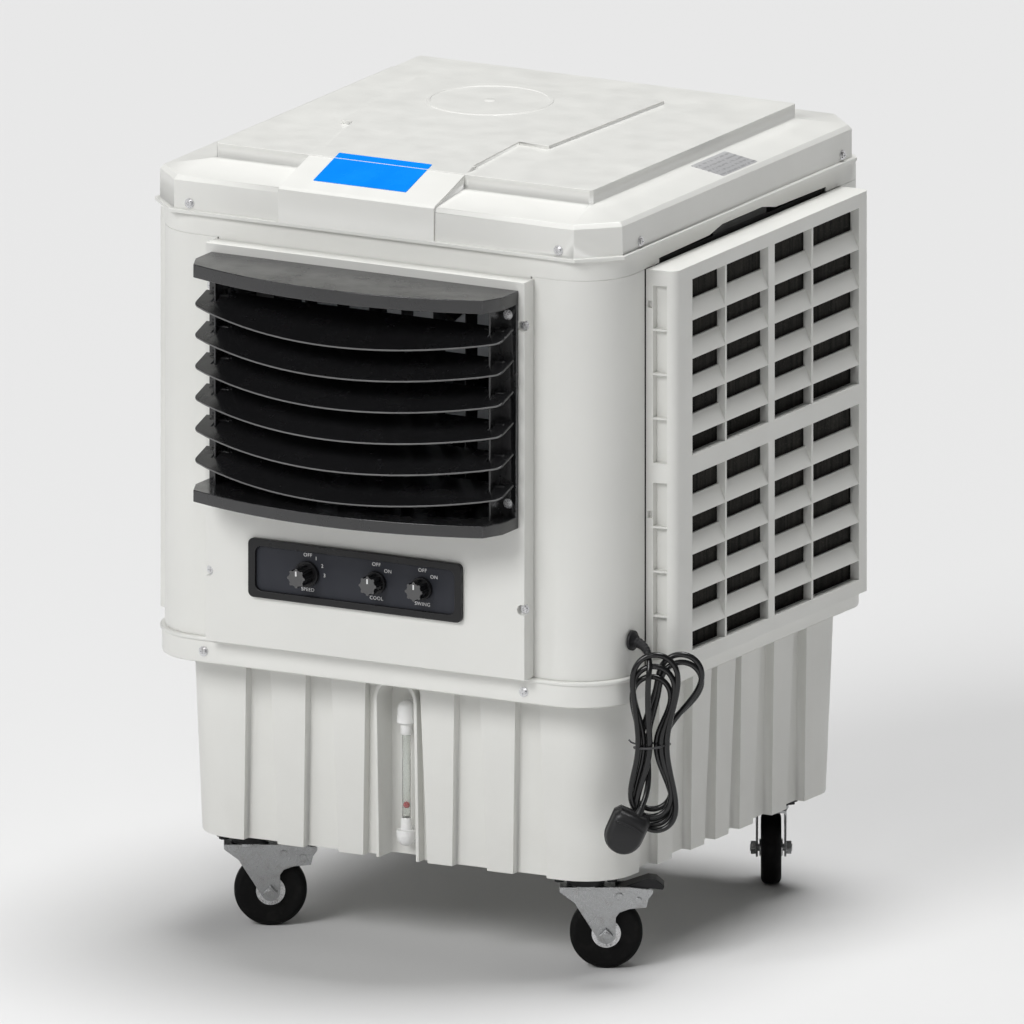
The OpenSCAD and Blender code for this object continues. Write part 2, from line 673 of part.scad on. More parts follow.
module motor_bracket() color(zinc) cabinet() {
  y0 = ring_y1;
  difference() {
    union() {
      for (a = [45:90:315]) translate([0, y0, fan_z]) rotate([0, a, 0])
        box(motor_r + 8, ring_r + 3, 0, 5, -9, 9);
      rod_y(y0, y0 + 16, 0, fan_z, motor_r + 10);
    }
    rod_y(y0 - 1, y0 + 17, 0, fan_z, motor_r);
  }
  for (r = [100, 132, 164]) translate([0, y0 + 5, fan_z]) rotate([90, 0, 0])
    rotate_extrude() translate([r, 0]) circle(r = 2.5, $fn = 16);
}

// ---------- cassettes and pads ----------
rail_top = 20;
rail_mid = 28;
rail_bottom = 20;
grille_x0 = -244;
grille_x1 = 250;
half_h = (cassette_h - rail_top - rail_mid - rail_bottom) / 2;
slat_count = slot_rows - 1;
row_h = half_h / (slot_rows - 0.42);
face_t = 14;
cassette_z0 = 432;
// Outline seen from above, x across the cabinet's side and y outwards from the posts
cassette_plan = concat(
  [[-cassette_w / 2, 0.5]], [[-cassette_w / 2 + 4, cassette_d - 14]],
  arc(-cassette_w / 2 + 18, cassette_d - 14, 14, 180, -90, 5),
  arc(cassette_w / 2 - 8, cassette_d - 8, 8, 90, -90, 4), [[cassette_w / 2, 0.5]]);
module half_slots(z0) for (row = [0:slot_rows - 1])
  box(grille_x0 + 18, grille_x1, cassette_d - face_t - 1, cassette_d + 1,
      z0 + row * row_h, z0 + row * row_h + row_h * 0.58);
module slats(z0) for (row = [0:slat_count - 1]) {
  top = z0 + (row + 1) * row_h - 1;
  slab_x([[cassette_d - face_t, top], [cassette_d - face_t + 3, top],
          [cassette_d - 0.5, z0 + row * row_h + row_h * 0.50],
          [cassette_d - 3.5, z0 + row * row_h + row_h * 0.50]], grille_x0 + 16, grille_x1 + 1);
}
// Finger channel with half-moon ribs down the side wall
module finger_channel(z0, h) difference() {
  box(-cassette_w / 2 - 5, -cassette_w / 2 + 12, 11, cassette_d - 14, z0, z0 + h);
  for (k = [1:3]) box(-cassette_w / 2 - 6, -cassette_w / 2 + 13, 0, cassette_d,
                      z0 + h * (k / 4) - 1.5, z0 + h * (k / 4) + 1.5);
}
module cassette() {
  z_mid = cassette_z0 + rail_bottom + half_h;
  difference() {
    prism(cassette_plan, cassette_z0, cassette_z0 + cassette_h);
    box(grille_x0 - 10, grille_x1 + 8, -1, cassette_d - face_t, cassette_z0 + 8,
        cassette_z0 + cassette_h - 8);
    box(grille_x0 + 18, grille_x1, cassette_d - face_t - 1, cassette_d + 1,
        cassette_z0 + rail_bottom, z_mid);
    box(grille_x0 + 18, grille_x1, cassette_d - face_t - 1, cassette_d + 1,
        z_mid + rail_mid, cassette_z0 + cassette_h - rail_top);
    finger_channel(cassette_z0 + 14, half_h + 2);
    finger_channel(z_mid + rail_mid - 4, half_h + 2);
    for (z = [cassette_z0 + 214, z_mid + rail_mid + 214])
      box(-cassette_w / 2 - 1, -cassette_w / 2 + 6, 3, 10, z, z + 10);
  }
  slats(cassette_z0 + rail_bottom);
  slats(z_mid + rail_mid);
  for (x = [-131, 116]) box(x, x + 5, cassette_d - face_t, cassette_d - 1,
                            cassette_z0 + rail_bottom - 1, cassette_z0 + cassette_h - rail_top + 1);
  box(-8, 10, cassette_d - face_t, cassette_d - 0.5, cassette_z0 + rail_bottom - 1,
      cassette_z0 + cassette_h - rail_top + 1);
}
// The right cassette faces +X with its finger channel towards the front
module on_right() cabinet() translate([hx, cassette_back, 0]) rotate([0, 0, 90]) scale([1, -1, 1])
  children();
module on_left() scale([-1, 1, 1]) on_right() children();
module on_rear() cabinet() translate([0, hy, 0]) children();
module cassette_right() color(shell_color) on_right() cassette();
module cassette_left() color(shell_color) on_left() cassette();
module cassette_rear() color(shell_color) on_rear() cassette();

pad_t = 80;
pad_w = 484;
pad_z0 = 442;
pad_z1 = 984;
module pad() box(-pad_w / 2, pad_w / 2, cassette_d - face_t - 2 - pad_t, cassette_d - face_t - 2,
                 pad_z0, pad_z1);
module cooling_pads() color([0.13, 0.12, 0.11]) {
  on_right() pad();
  on_left() pad();
  on_rear() pad();
}

// ---------- water circuit ----------
tray_w = 468;
module tray() difference() {
  union() {
    box(-tray_w / 2, tray_w / 2, -56, -4, 986, 1000);
    box(-hump_half * 0.8, hump_half * 0.8, -56, -5, 999, 1010);
  }
  box(-tray_w / 2 + 3, tray_w / 2 - 3, -53, -7, 989, 998);
  box(-hump_half * 0.7, hump_half * 0.7, -50, -9, 997, 1007);
}
pump_x = -150;
pump_y = 230;
pipe_r = 9;
pipe_z = 1003;
module water_distributor() color(black) {
  on_right() tray();
  on_left() tray();
  on_rear() tray();
  cabinet() {
    rod_z(250, pipe_z, pump_x, pump_y, pipe_r);
    translate([pump_x, pump_y, pipe_z]) sphere(r = pipe_r);
    rod_x(-hx + 55, hx - 55, pump_y, pipe_z, pipe_r);
    rod_y(pump_y, hy - 55, pump_x + 80, pipe_z, pipe_r);
  }
}
module pump() color([0.15, 0.17, 0.2]) cabinet() {
  box(pump_x - 45, pump_x + 45, pump_y - 35, pump_y + 35, tank_z0 + 12, 236);
  rod_z(235, 250, pump_x, pump_y, 14);
  for (a = [-1, 1], b = [-1, 1])
    rod_z(tank_z0 + 6, tank_z0 + 13, pump_x + a * 34, pump_y + b * 24, 7);
}

// ---------- casters ----------
caster_x = 262;
caster_dy = 265;
axle_r = 5;
race_z = caster_h - 17;
crown_z = race_z - 6;
leg_gap = 18;
leg_t = 3;
casters = [
  [-caster_x, tank_back - caster_dy, front_yaw], [caster_x, tank_back - caster_dy, front_yaw],
  [-caster_x, tank_back + caster_dy, rear_yaw], [caster_x, tank_back + caster_dy, rear_yaw]];
module at_caster(i) cabinet() translate([casters[i][0], casters[i][1], 0])
  rotate([0, 0, casters[i][2]]) children();
leg_outline = concat([[-36, race_z - 1], [-36, crown_z - 2], [-16, 95]],
  arc(trail, wheel_r, 13, 205, 155, 10), [[41, 74], [46, 81], [60, 86], [83, 88], [86, 100], [92, 108],
  [92, 113], [60, race_z - 1]]);
module fork(i) color(zinc) at_caster(i) {
  difference() {
    union() {
      for (s = [-1, 1]) slab_y(leg_outline, s * (leg_gap + leg_t / 2) - leg_t / 2,
                               s * (leg_gap + leg_t / 2) + leg_t / 2);
      box(-36, 40, -leg_gap - leg_t, leg_gap + leg_t, race_z - 5, race_z - 1);
      rod_z(race_z - 5, race_z, 0, 0, 24);
    }
    rod_y(-leg_gap - 6, leg_gap + 6, trail, wheel_r, axle_r + 0.02);
    rod_z(race_z - 6, race_z + 1, 0, 0, 6 + pin_gap);
    rod_y(-leg_gap - 6, leg_gap + 6, pedal_x, pedal_z, 3 + pin_gap);
  }
  rod_y(-leg_gap - leg_t - 8, leg_gap + leg_t + 8, trail, wheel_r, axle_r);
  for (s = [-1, 1]) translate([trail, s * (leg_gap + leg_t + 3.5), wheel_r])
    rotate([90, 0, 0]) cylinder(h = 7 - 0.1, r = 9.5, $fn = s < 0 ? 4 : 6, center = true);
  for (p = [[pedal_x, pedal_z], [72, 98]]) for (s = [-1, 1])
    rod_y(s > 0 ? leg_gap + leg_t : -leg_gap - leg_t - 2, s > 0 ? leg_gap + leg_t + 2 : -leg_gap - leg_t,
          p[0], p[1], 5);
}
module fork_1() fork(0);
module fork_2() fork(1);
module fork_3() fork(2);
module fork_4() fork(3);

module wheel(i) color(black) at_caster(i) translate([trail, 0, wheel_r]) rotate([90, 0, 0])
  rotate_extrude($fn = 96) polygon(concat(
    [[axle_r + pin_gap, -tyre_w / 2 - 2], [12, -tyre_w / 2 - 2], [12, -tyre_w / 2 + 3],
     [20, -tyre_w / 2 + 1]],
    arc(wheel_r - 9, -tyre_w / 2 + 9, 9, -90, 90, 5),
    arc(wheel_r - 9, tyre_w / 2 - 9, 9, 0, 90, 5),
    [[20, tyre_w / 2 - 1], [12, tyre_w / 2 - 3], [12, tyre_w / 2 + 2],
     [axle_r + pin_gap, tyre_w / 2 + 2]]));
module wheel_1() wheel(0);
module wheel_2() wheel(1);
module wheel_3() wheel(2);
module wheel_4() wheel(3);

module caster_plates() color([0.35, 0.35, 0.36]) for (i = [0:3]) at_caster(i) {
  difference() {
    slab_plate = round_rect(92, 72, 8);
    prism(slab_plate, caster_h - 4, caster_h - 0.02);
    for (a = [-1, 1], b = [-1, 1]) rod_z(caster_h - 5, caster_h + 1, a * 36, b * 26, 4);
  }
  rod_z(race_z + 0.5, caster_h - 3.9, 0, 0, 26);
  rod_z(race_z - 5, race_z + 1, 0, 0, 6);
  for (a = [-1, 1], b = [-1, 1]) {
    rod_z(caster_h - 4, caster_h - 0.02, a * 36, b * 26, 4);
    translate([a * 36, b * 26, caster_h - 8.5]) cylinder(h = 4.6, r = 7, $fn = 6);
  }
}

pedal_x = 46;
pedal_z = 104;
module brake_pedal(i) color(black) at_caster(i) {
  slab_y([[44, 114], [86, 128], [97, 126.5], [108, 117], [106, 112], [88, 114], [60, 107],
          [52, 101], [42, 101]], -leg_gap + 1, leg_gap - 1);
  rod_y(-leg_gap - 2.5, leg_gap + 2.5, pedal_x, pedal_z, 3);
}
module brake_pedal_1() brake_pedal(0);
module brake_pedal_2() brake_pedal(1);

// ---------- mains cord ----------
gland_y = -302;
gland_z = 482;
gland_stem_r = 8;
cord_r = 4;
// The hank's middle, in the cabinet's frame, and the direction of its width
hank_x = 404;
hank_y = -304;
hank_turn = 28.65;
hank_z0 = 214;
hank_z1 = 468;
hank_half = 32;
hank_t = 26;
lobe_turn = -22;
module cable_gland() color(black) cabinet() difference() {
  union() {
    rod_x(hx - skin - 8, hx + 1, gland_y, gland_z, gland_stem_r - 0.02);
    rod_x(hx + 0.2, hx + 5, gland_y, gland_z, 14);
    translate([hx + 4.9, gland_y, gland_z]) rotate([0, 90, 0]) cylinder(h = 6, r1 = 12, r2 = 7);
  }
  rod_x(hx - skin - 9, hx + 12, gland_y, gland_z, cord_r + 0.4);
}
// Straight out of the gland, then down to the top of the hank
lead_route = [[352, -302, 482], [361, -302, 482], [370, -302, 481.8], [378, -303, 480],
  [386, -305.5, 475.5], [392, -309.5, 469], [397, -314.5, 461], [399.5, -319.5, 453],
  [400, -324, 444]];
function spin(p, d, u, k, n) = let (s = cross(d, u))
  [for (i = [0:n - 1]) p + k * (u * cos(360 * i / n) + s * sin(360 * i / n))];
function unit(v) = v / norm(v);
module tube(route, r, n = 8) {
  last = len(route) - 1;
  up = [0, 1, 0];
  rings = [for (i = [0:last]) let (d = unit(route[min(i + 1, last)] - route[max(i - 1, 0)]))
    spin(route[i], d, unit(cross(d, up)), r, n)];
  points = [for (ring = rings, p = ring) p];
  faces = concat([[for (i = [0:n - 1]) i]],
    [for (k = [0:last - 1], i = [0:n - 1]) [k * n + i, (k + 1) * n + i,
      (k + 1) * n + (i + 1) % n, k * n + (i + 1) % n]],
    [[for (i = [n - 1:-1:0]) last * n + i]]);
  polyhedron(points, faces, convexity = 4);
}
module cord_lead() color(black) cabinet() tube(lead_route, cord_r - 0.05);
module at_hank() cabinet() translate([hank_x, hank_y, 0]) rotate([0, 0, hank_turn]) children();
module stadium(x, z0, z1, r) {
  translate([x - r, z0 + r]) square([2 * r, z1 - z0 - 2 * r]);
  translate([x, z0 + r]) circle(r = r);
  translate([x, z1 - r]) circle(r = r);
}
module cord_hank() color(black) at_hank() rotate([90, 0, 0])
  translate([0, 0, -hank_t / 2]) linear_extrude(hank_t) union() {
    stadium(-8, hank_z0, 352, 30);
    stadium(-3, 328, hank_z1, hank_half);
    translate([-2, 340]) rotate(lobe_turn) stadium(0, -22, 128, 27);
  }

// Plug with its pins, beside the foot of the hank
plug_drop = 223;
plug_side = -44;
plug_front = -16;
module plug() color(black) at_hank()
  translate([plug_side, plug_front, plug_drop]) rotate([0, 24, 0]) {
  slab_y(concat([[-27, 20], [-20, 29], [20, 29], [27, 20]], arc(0, -8, 27, 0, -180, 10)), -17, 13);
  slab_y([[9, 28], [22, 28], [21, 36], [12, 36]], -8, 6);
  for (x = [-11, 11]) box(x - 3.2, x + 3.2, 13, 31, -12, -8);
  box(-2, 2, 13, 36, 6, 14);
}

tank();
base_frame();
corner_posts();
top_rails();
front_cover();
fan_ring();
lid();
case_screws();
cassette_right();
cassette_left();
cassette_rear();
cooling_pads();
water_distributor();
pump();
fan_motor();
motor_bracket();
fan();
louvre_frame();
vane_1();
vane_2();
vane_3();
vane_4();
vane_5();
vane_6();
vane_link();
swing_vane_1();
swing_vane_2();
swing_vane_3();
swing_vane_4();
swing_vane_5();
swing_vane_6();
swing_vane_7();
swing_link();
swing_motor();
control_bezel();
knob_speed();
knob_cool();
knob_swing();
rotary_switches();
level_fittings();
level_tube();
level_float();
float_valve();
float_arm();
drain_plug();
caster_plates();
fork_1();
fork_2();
fork_3();
fork_4();
wheel_1();
wheel_2();
wheel_3();
wheel_4();
brake_pedal_1();
brake_pedal_2();
cable_gland();
cord_lead();
cord_hank();
plug();
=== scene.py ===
"""Mobile evaporative cooler: its looks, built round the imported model.

Metres, +Z up, the outlet faces -Y and the mains cord hangs on the +X side. Places come from the
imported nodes' boxes; sizes that only the looks need are named values in millimetres.
"""

import json
import math

import bmesh
import bpy
import numpy as np
from mathutils import Matrix, Vector
from mathutils.bvhtree import BVHTree


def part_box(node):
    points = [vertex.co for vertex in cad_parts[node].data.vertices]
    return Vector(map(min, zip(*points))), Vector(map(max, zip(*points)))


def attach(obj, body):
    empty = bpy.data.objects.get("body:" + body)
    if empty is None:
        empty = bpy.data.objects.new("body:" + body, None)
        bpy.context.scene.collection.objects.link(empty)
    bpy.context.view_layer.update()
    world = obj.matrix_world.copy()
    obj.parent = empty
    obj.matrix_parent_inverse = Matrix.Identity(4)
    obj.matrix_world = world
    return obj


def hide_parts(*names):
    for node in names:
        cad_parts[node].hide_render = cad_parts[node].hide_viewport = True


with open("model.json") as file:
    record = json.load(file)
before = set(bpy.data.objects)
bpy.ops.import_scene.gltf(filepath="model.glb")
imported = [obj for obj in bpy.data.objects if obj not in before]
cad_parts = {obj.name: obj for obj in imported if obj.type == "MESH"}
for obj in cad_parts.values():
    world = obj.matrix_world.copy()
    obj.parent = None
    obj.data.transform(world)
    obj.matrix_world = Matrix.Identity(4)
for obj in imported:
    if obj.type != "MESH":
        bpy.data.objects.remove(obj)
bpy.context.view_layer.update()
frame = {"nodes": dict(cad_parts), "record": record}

MM = 0.001
posts_low, posts_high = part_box("corner_posts")
# The cabinet's centre is behind the origin, because the louvres reach forward
CABINET_Y = (posts_low.y + posts_high.y) / 2


def cab(x, y, z):
    """A place in the cabinet's own millimetres, as a point of the row frame in metres."""
    return Vector((x * MM, y * MM + CABINET_Y, z * MM))


# ---------------------------------------------------------------- camera and light

VIEW_AZIMUTH = math.radians(28.65)
VIEW_ELEVATION = math.radians(13.5)
VIEW_WIDTH = 1.403
VIEW_CENTRE = Vector((-0.0534, 0.1671, 0.5272))
CAMERA_DISTANCE = 6.0


def add_camera():
    """A parallel view, as the object's edges run parallel in the view that it is compared with."""
    back = Vector((math.sin(VIEW_AZIMUTH) * math.cos(VIEW_ELEVATION),
                   -math.cos(VIEW_AZIMUTH) * math.cos(VIEW_ELEVATION),
                   math.sin(VIEW_ELEVATION)))
    data = bpy.data.cameras.new("camera")
    data.type = "ORTHO"
    data.ortho_scale = VIEW_WIDTH
    data.clip_end = 60
    camera = bpy.data.objects.new("camera", data)
    camera.location = VIEW_CENTRE + back * CAMERA_DISTANCE
    camera.rotation_mode = "QUATERNION"
    camera.rotation_quaternion = (-back).to_track_quat("-Z", "Y")
    bpy.context.scene.collection.objects.link(camera)
    bpy.context.scene.camera = camera


def add_sun(name, source, spread, strength):
    """A far soft lamp; strength is what a white face square to it would show."""
    data = bpy.data.lights.new(name, "SUN")
    data.angle = math.radians(spread)
    data.energy = math.pi * strength
    light = bpy.data.objects.new(name, data)
    light.rotation_mode = "QUATERNION"
    light.rotation_quaternion = (-Vector(source)).to_track_quat("-Z", "Y")
    bpy.context.scene.collection.objects.link(light)


def add_softbox(name, place, aim, size, power):
    data = bpy.data.lights.new(name, "AREA")
    data.shape = "RECTANGLE"
    data.size, data.size_y = size
    data.energy = power
    light = bpy.data.objects.new(name, data)
    light.location = place
    light.rotation_mode = "QUATERNION"
    light.rotation_quaternion = (Vector(aim) - Vector(place)).to_track_quat("-Z", "Y")
    bpy.context.scene.collection.objects.link(light)


def add_studio():
    add_sun("key", (-0.16, -0.80, 0.58), 24, 0.46)
    add_sun("top", (0.05, 0.16, 1.0), 30, 0.84)
    add_softbox("gloss_left", (-2.6, -3.0, 2.2), (0, -0.4, 0.7), (0.7, 2.4), 14)
    add_softbox("gloss_right", (1.5, -3.6, 2.6), (0.2, -0.4, 0.8), (0.5, 2.0), 10)
    world = bpy.data.worlds.new("studio")
    world.use_nodes = True
    background = world.node_tree.nodes["Background"]
    background.inputs["Color"].default_value = (1, 1, 1, 1)
    background.inputs["Strength"].default_value = 0.08
    bpy.context.scene.world = world
    bpy.context.scene.view_settings.view_transform = "Standard"
    floor_mesh = bpy.data.meshes.new("floor")
    reach = 25
    floor_mesh.from_pydata([(-reach, -reach, 0), (reach, -reach, 0), (reach, reach, 0),
                            (-reach, reach, 0)], [], [(0, 1, 2, 3)])
    floor = bpy.data.objects.new("floor", floor_mesh)
    bpy.context.scene.collection.objects.link(floor)
    floor.data.materials.append(plain_floor())


def plain_floor():
    made = bpy.data.materials.new("floor_white")
    made.use_nodes = True
    shader = made.node_tree.nodes["Principled BSDF"]
    shader.inputs["Base Color"].default_value = (0.69, 0.69, 0.69, 1)
    shader.inputs["Roughness"].default_value = 0.9
    return made


# ---------------------------------------------------------------- materials


class Look:
    """A node material that is built up step by step."""

    def __init__(self, name, color, rough, metal=0.0):
        self.material = bpy.data.materials.new(name)
        self.material.use_nodes = True
        self.tree = self.material.node_tree
        self.shader = self.tree.nodes["Principled BSDF"]
        self.color = color
        self.shader.inputs["Base Color"].default_value = (*color, 1)
        self.shader.inputs["Roughness"].default_value = rough
        self.shader.inputs["Metallic"].default_value = metal
        self.rough = rough
        self.coords = self.tree.nodes.new("ShaderNodeTexCoord").outputs["Object"]
        self.height = None

    def node(self, kind, **inputs):
        made = self.tree.nodes.new(kind)
        for name, value in inputs.items():
            self.put(value, made.inputs[name.replace("_", " ")])
        return made

    def put(self, value, socket):
        if isinstance(value, bpy.types.NodeSocket):
            self.tree.links.new(value, socket)
        else:
            socket.default_value = value

    def stretched(self, scale):
        """Object coordinates, stretched along the axes with a small scale."""
        made = self.node("ShaderNodeMapping", Vector=self.coords)
        made.inputs["Scale"].default_value = scale
        return made.outputs["Vector"]

    def noise(self, scale, detail=3.0, vector=None):
        return self.node("ShaderNodeTexNoise", Vector=vector or self.coords, Scale=scale,
                         Detail=detail).outputs["Fac"]

    def ranged(self, value, low, high, start=0.3, stop=0.7):
        made = self.node("ShaderNodeMapRange", Value=value)
        limits = {"From Min": start, "From Max": stop, "To Min": low, "To Max": high}
        for name, number in limits.items():
            made.inputs[name].default_value = number
        return made.outputs["Result"]

    def mixed(self, share, first, second):
        made = self.tree.nodes.new("ShaderNodeMix")
        made.data_type = "RGBA"
        self.put(share, made.inputs["Factor"])
        self.put((*first, 1) if isinstance(first, tuple) else first, made.inputs["A"])
        self.put((*second, 1) if isinstance(second, tuple) else second, made.inputs["B"])
        return made.outputs["Result"]

    def maths(self, how, first, second):
        made = self.tree.nodes.new("ShaderNodeMath")
        made.operation = how
        self.put(first, made.inputs[0])
        self.put(second, made.inputs[1])
        return made.outputs["Value"]

    def set_color(self, socket):
        self.put(socket, self.shader.inputs["Base Color"])

    def set_rough(self, socket):
        self.put(socket, self.shader.inputs["Roughness"])

    def bumped(self, value, depth, strength=1.0):
        """Adds a height to the surface; depth is in metres."""
        made = self.node("ShaderNodeBump", Height=value)
        made.inputs["Distance"].default_value = depth
        made.inputs["Strength"].default_value = strength
        if self.height is not None:
            self.put(self.height, made.inputs["Normal"])
        self.height = made.outputs["Normal"]
        self.put(self.height, self.shader.inputs["Normal"])

    def wear_and_highlight_edges(self, base, wear_and_highlight, amount=0.6):
        """Mixes a lighter colour in on the rounded edges, in patches: wear, and on the black louvres a
        painted highlight.
        """
        edge = self.tree.nodes.new("ShaderNodeAttribute")
        edge.attribute_name = "edge"
        patches = self.ranged(self.noise(60, 4), 0.15, 1.0, 0.42, 0.62)
        share = self.maths("MULTIPLY", edge.outputs["Fac"], patches)
        return self.mixed(self.maths("MULTIPLY", share, amount), base, wear_and_highlight)


def scaled(color, share):
    return tuple(c * share for c in color)


def moulded(name, color, rough=0.42, spread=0.03, grain=1400, grain_depth=0.00004, wear_and_highlight=1.06,
            dust=0.0, coat=0.0, gloss=0.5):
    """Moulded plastic: slight clouding, fine grain, lighter rounded edges for wear (on the black
    louvres a painted highlight) and, where asked, dust below.
    """
    look = Look(name, color, rough)
    cloud = look.ranged(look.noise(5.5, 4), 0, 1)
    base = look.mixed(cloud, scaled(color, 1 - spread), scaled(color, 1 + spread))
    if dust:
        height = look.tree.nodes.new("ShaderNodeSeparateXYZ")
        look.put(look.coords, height.inputs[0])
        low = look.ranged(height.outputs["Z"], 1.0, 0.0, 0.10, 0.42)
        patch = look.ranged(look.noise(14, 5), 0.2, 1.0, 0.38, 0.66)
        share = look.maths("MULTIPLY", look.maths("MULTIPLY", low, patch), dust)
        base = look.mixed(share, base, (0.47, 0.44, 0.38))
    look.set_color(look.wear_and_highlight_edges(base, scaled(color, wear_and_highlight)))
    rub = look.noise(26, 5)
    look.set_rough(look.ranged(rub, max(rough - 0.09, 0.05), rough + 0.08, 0.3, 0.7))
    look.bumped(look.noise(grain, 2), grain_depth, 0.6)
    look.bumped(look.noise(9, 2), 0.0006, 0.12)
    look.shader.inputs["Specular IOR Level"].default_value = gloss
    if coat:
        look.shader.inputs["Coat Weight"].default_value = coat
        look.shader.inputs["Coat Roughness"].default_value = 0.12
    return look


def metal(name, color, rough=0.34, streaks=(1, 1, 1), tarnish=(0.32, 0.31, 0.30)):
    """Plated or bare metal: mottled, with fine streaks and dull spots."""
    look = Look(name, color, rough, 1.0)
    spots = look.ranged(look.noise(90, 5), 0, 0.55, 0.5, 0.72)
    base = look.mixed(spots, color, tarnish)
    look.set_color(look.wear_and_highlight_edges(base, scaled(color, 1.25), 0.8))
    drawn = look.noise(700, 3, look.stretched(streaks))
    look.set_rough(look.ranged(drawn, rough - 0.1, rough + 0.16))
    look.bumped(drawn, 0.00005, 0.5)
    return look


def pad_paper():
    """Impregnated paper: near black, streaked down the flutes, frayed at the edges."""
    look = Look("pad_paper", (0.045, 0.042, 0.038), 0.92)
    streak = look.noise(160, 5, look.stretched((1, 1, 0.06)))
    frayed = look.noise(420, 3)
    base = look.mixed(look.ranged(streak, 0, 1), (0.008, 0.008, 0.007), (0.040, 0.037, 0.032))
    look.set_color(look.mixed(look.ranged(frayed, 0, 0.7, 0.55, 0.75), base, (0.06, 0.055, 0.048)))
    look.bumped(frayed, 0.0006, 0.8)
    look.bumped(streak, 0.0005, 0.6)
    return look


def louvre_black():
    """Charcoal louvre plastic, satin on the faces, with its rounded edges painted much lighter as a
    highlight.
    """
    # The factor 4.0 paints the rounded edges much lighter, as a highlight
    return moulded("louvre_black", (0.014, 0.014, 0.015), 0.24, 0.15, 1100, 0.00005, wear_and_highlight=4.0,
                   gloss=0.8)


def tyre_rubber():
    look = Look("tyre_rubber", (0.018, 0.018, 0.019), 0.74)
    scuff = look.noise(75, 5)
    dusty = look.ranged(scuff, 0, 0.55, 0.52, 0.72)
    look.set_color(look.mixed(dusty, (0.004, 0.004, 0.004), (0.018, 0.017, 0.016)))
    look.shader.inputs["Specular IOR Level"].default_value = 0.15
    look.set_rough(look.ranged(scuff, 0.62, 0.86))
    look.bumped(look.noise(1200, 3), 0.0001, 0.5)
    return look


def cord_rubber():
    """The cord's sheath: black, glossy and a little smeared."""
    look = Look("cord_rubber", (0.012, 0.012, 0.013), 0.26)
    smear = look.noise(45, 4)
    look.set_color(look.mixed(look.ranged(smear, 0, 1), (0.005, 0.005, 0.005), (0.012, 0.012, 0.013)))
    look.shader.inputs["Specular IOR Level"].default_value = 0.45
    look.set_rough(look.ranged(smear, 0.12, 0.26))
    look.bumped(look.noise(900, 2), 0.00004, 0.4)
    return look


def clear_plastic():
    look = Look("clear_tube", (0.93, 0.96, 0.95), 0.08)
    look.shader.inputs["Transmission Weight"].default_value = 0.92
    look.shader.inputs["IOR"].default_value = 1.35
    film = look.noise(60, 4, look.stretched((1, 1, 0.2)))
    look.set_rough(look.ranged(film, 0.05, 0.22))
    look.set_color(look.mixed(look.ranged(film, 0, 1), (0.95, 0.97, 0.96), (0.82, 0.83, 0.80)))
    return look


def rating_plate():
    """Silver film with rows of faint grey bars where a plate has its table; no text."""
    look = Look("rating_plate", (0.55, 0.55, 0.56), 0.34, 0.35)
    rows = look.node("ShaderNodeTexWave", Vector=look.coords, Scale=32, Distortion=0.0)
    rows.wave_type = "BANDS"
    rows.bands_direction = "X"
    blocks = look.noise(230, 0, look.stretched((1, 0.9, 1)))
    dark = look.maths("MULTIPLY", look.ranged(rows.outputs["Fac"], 0, 1, 0.55, 0.75),
                      look.ranged(blocks, 0, 1, 0.42, 0.5))
    share = look.maths("MULTIPLY", dark, 0.6)
    look.set_color(look.mixed(share, (0.56, 0.56, 0.57), (0.30, 0.30, 0.31)))
    look.bumped(look.noise(500, 2), 0.00004, 0.4)
    return look


def badge_blue():
    look = Look("badge_blue", (0.0, 0.235, 0.85), 0.26)
    haze = look.noise(20, 4)
    look.set_color(look.mixed(look.ranged(haze, 0, 1), (0.0, 0.22, 0.80), (0.0, 0.25, 0.90)))
    look.shader.inputs["Specular IOR Level"].default_value = 0.15
    look.set_rough(look.ranged(haze, 0.2, 0.34))
    look.bumped(look.noise(700, 2), 0.00003, 0.4)
    return look


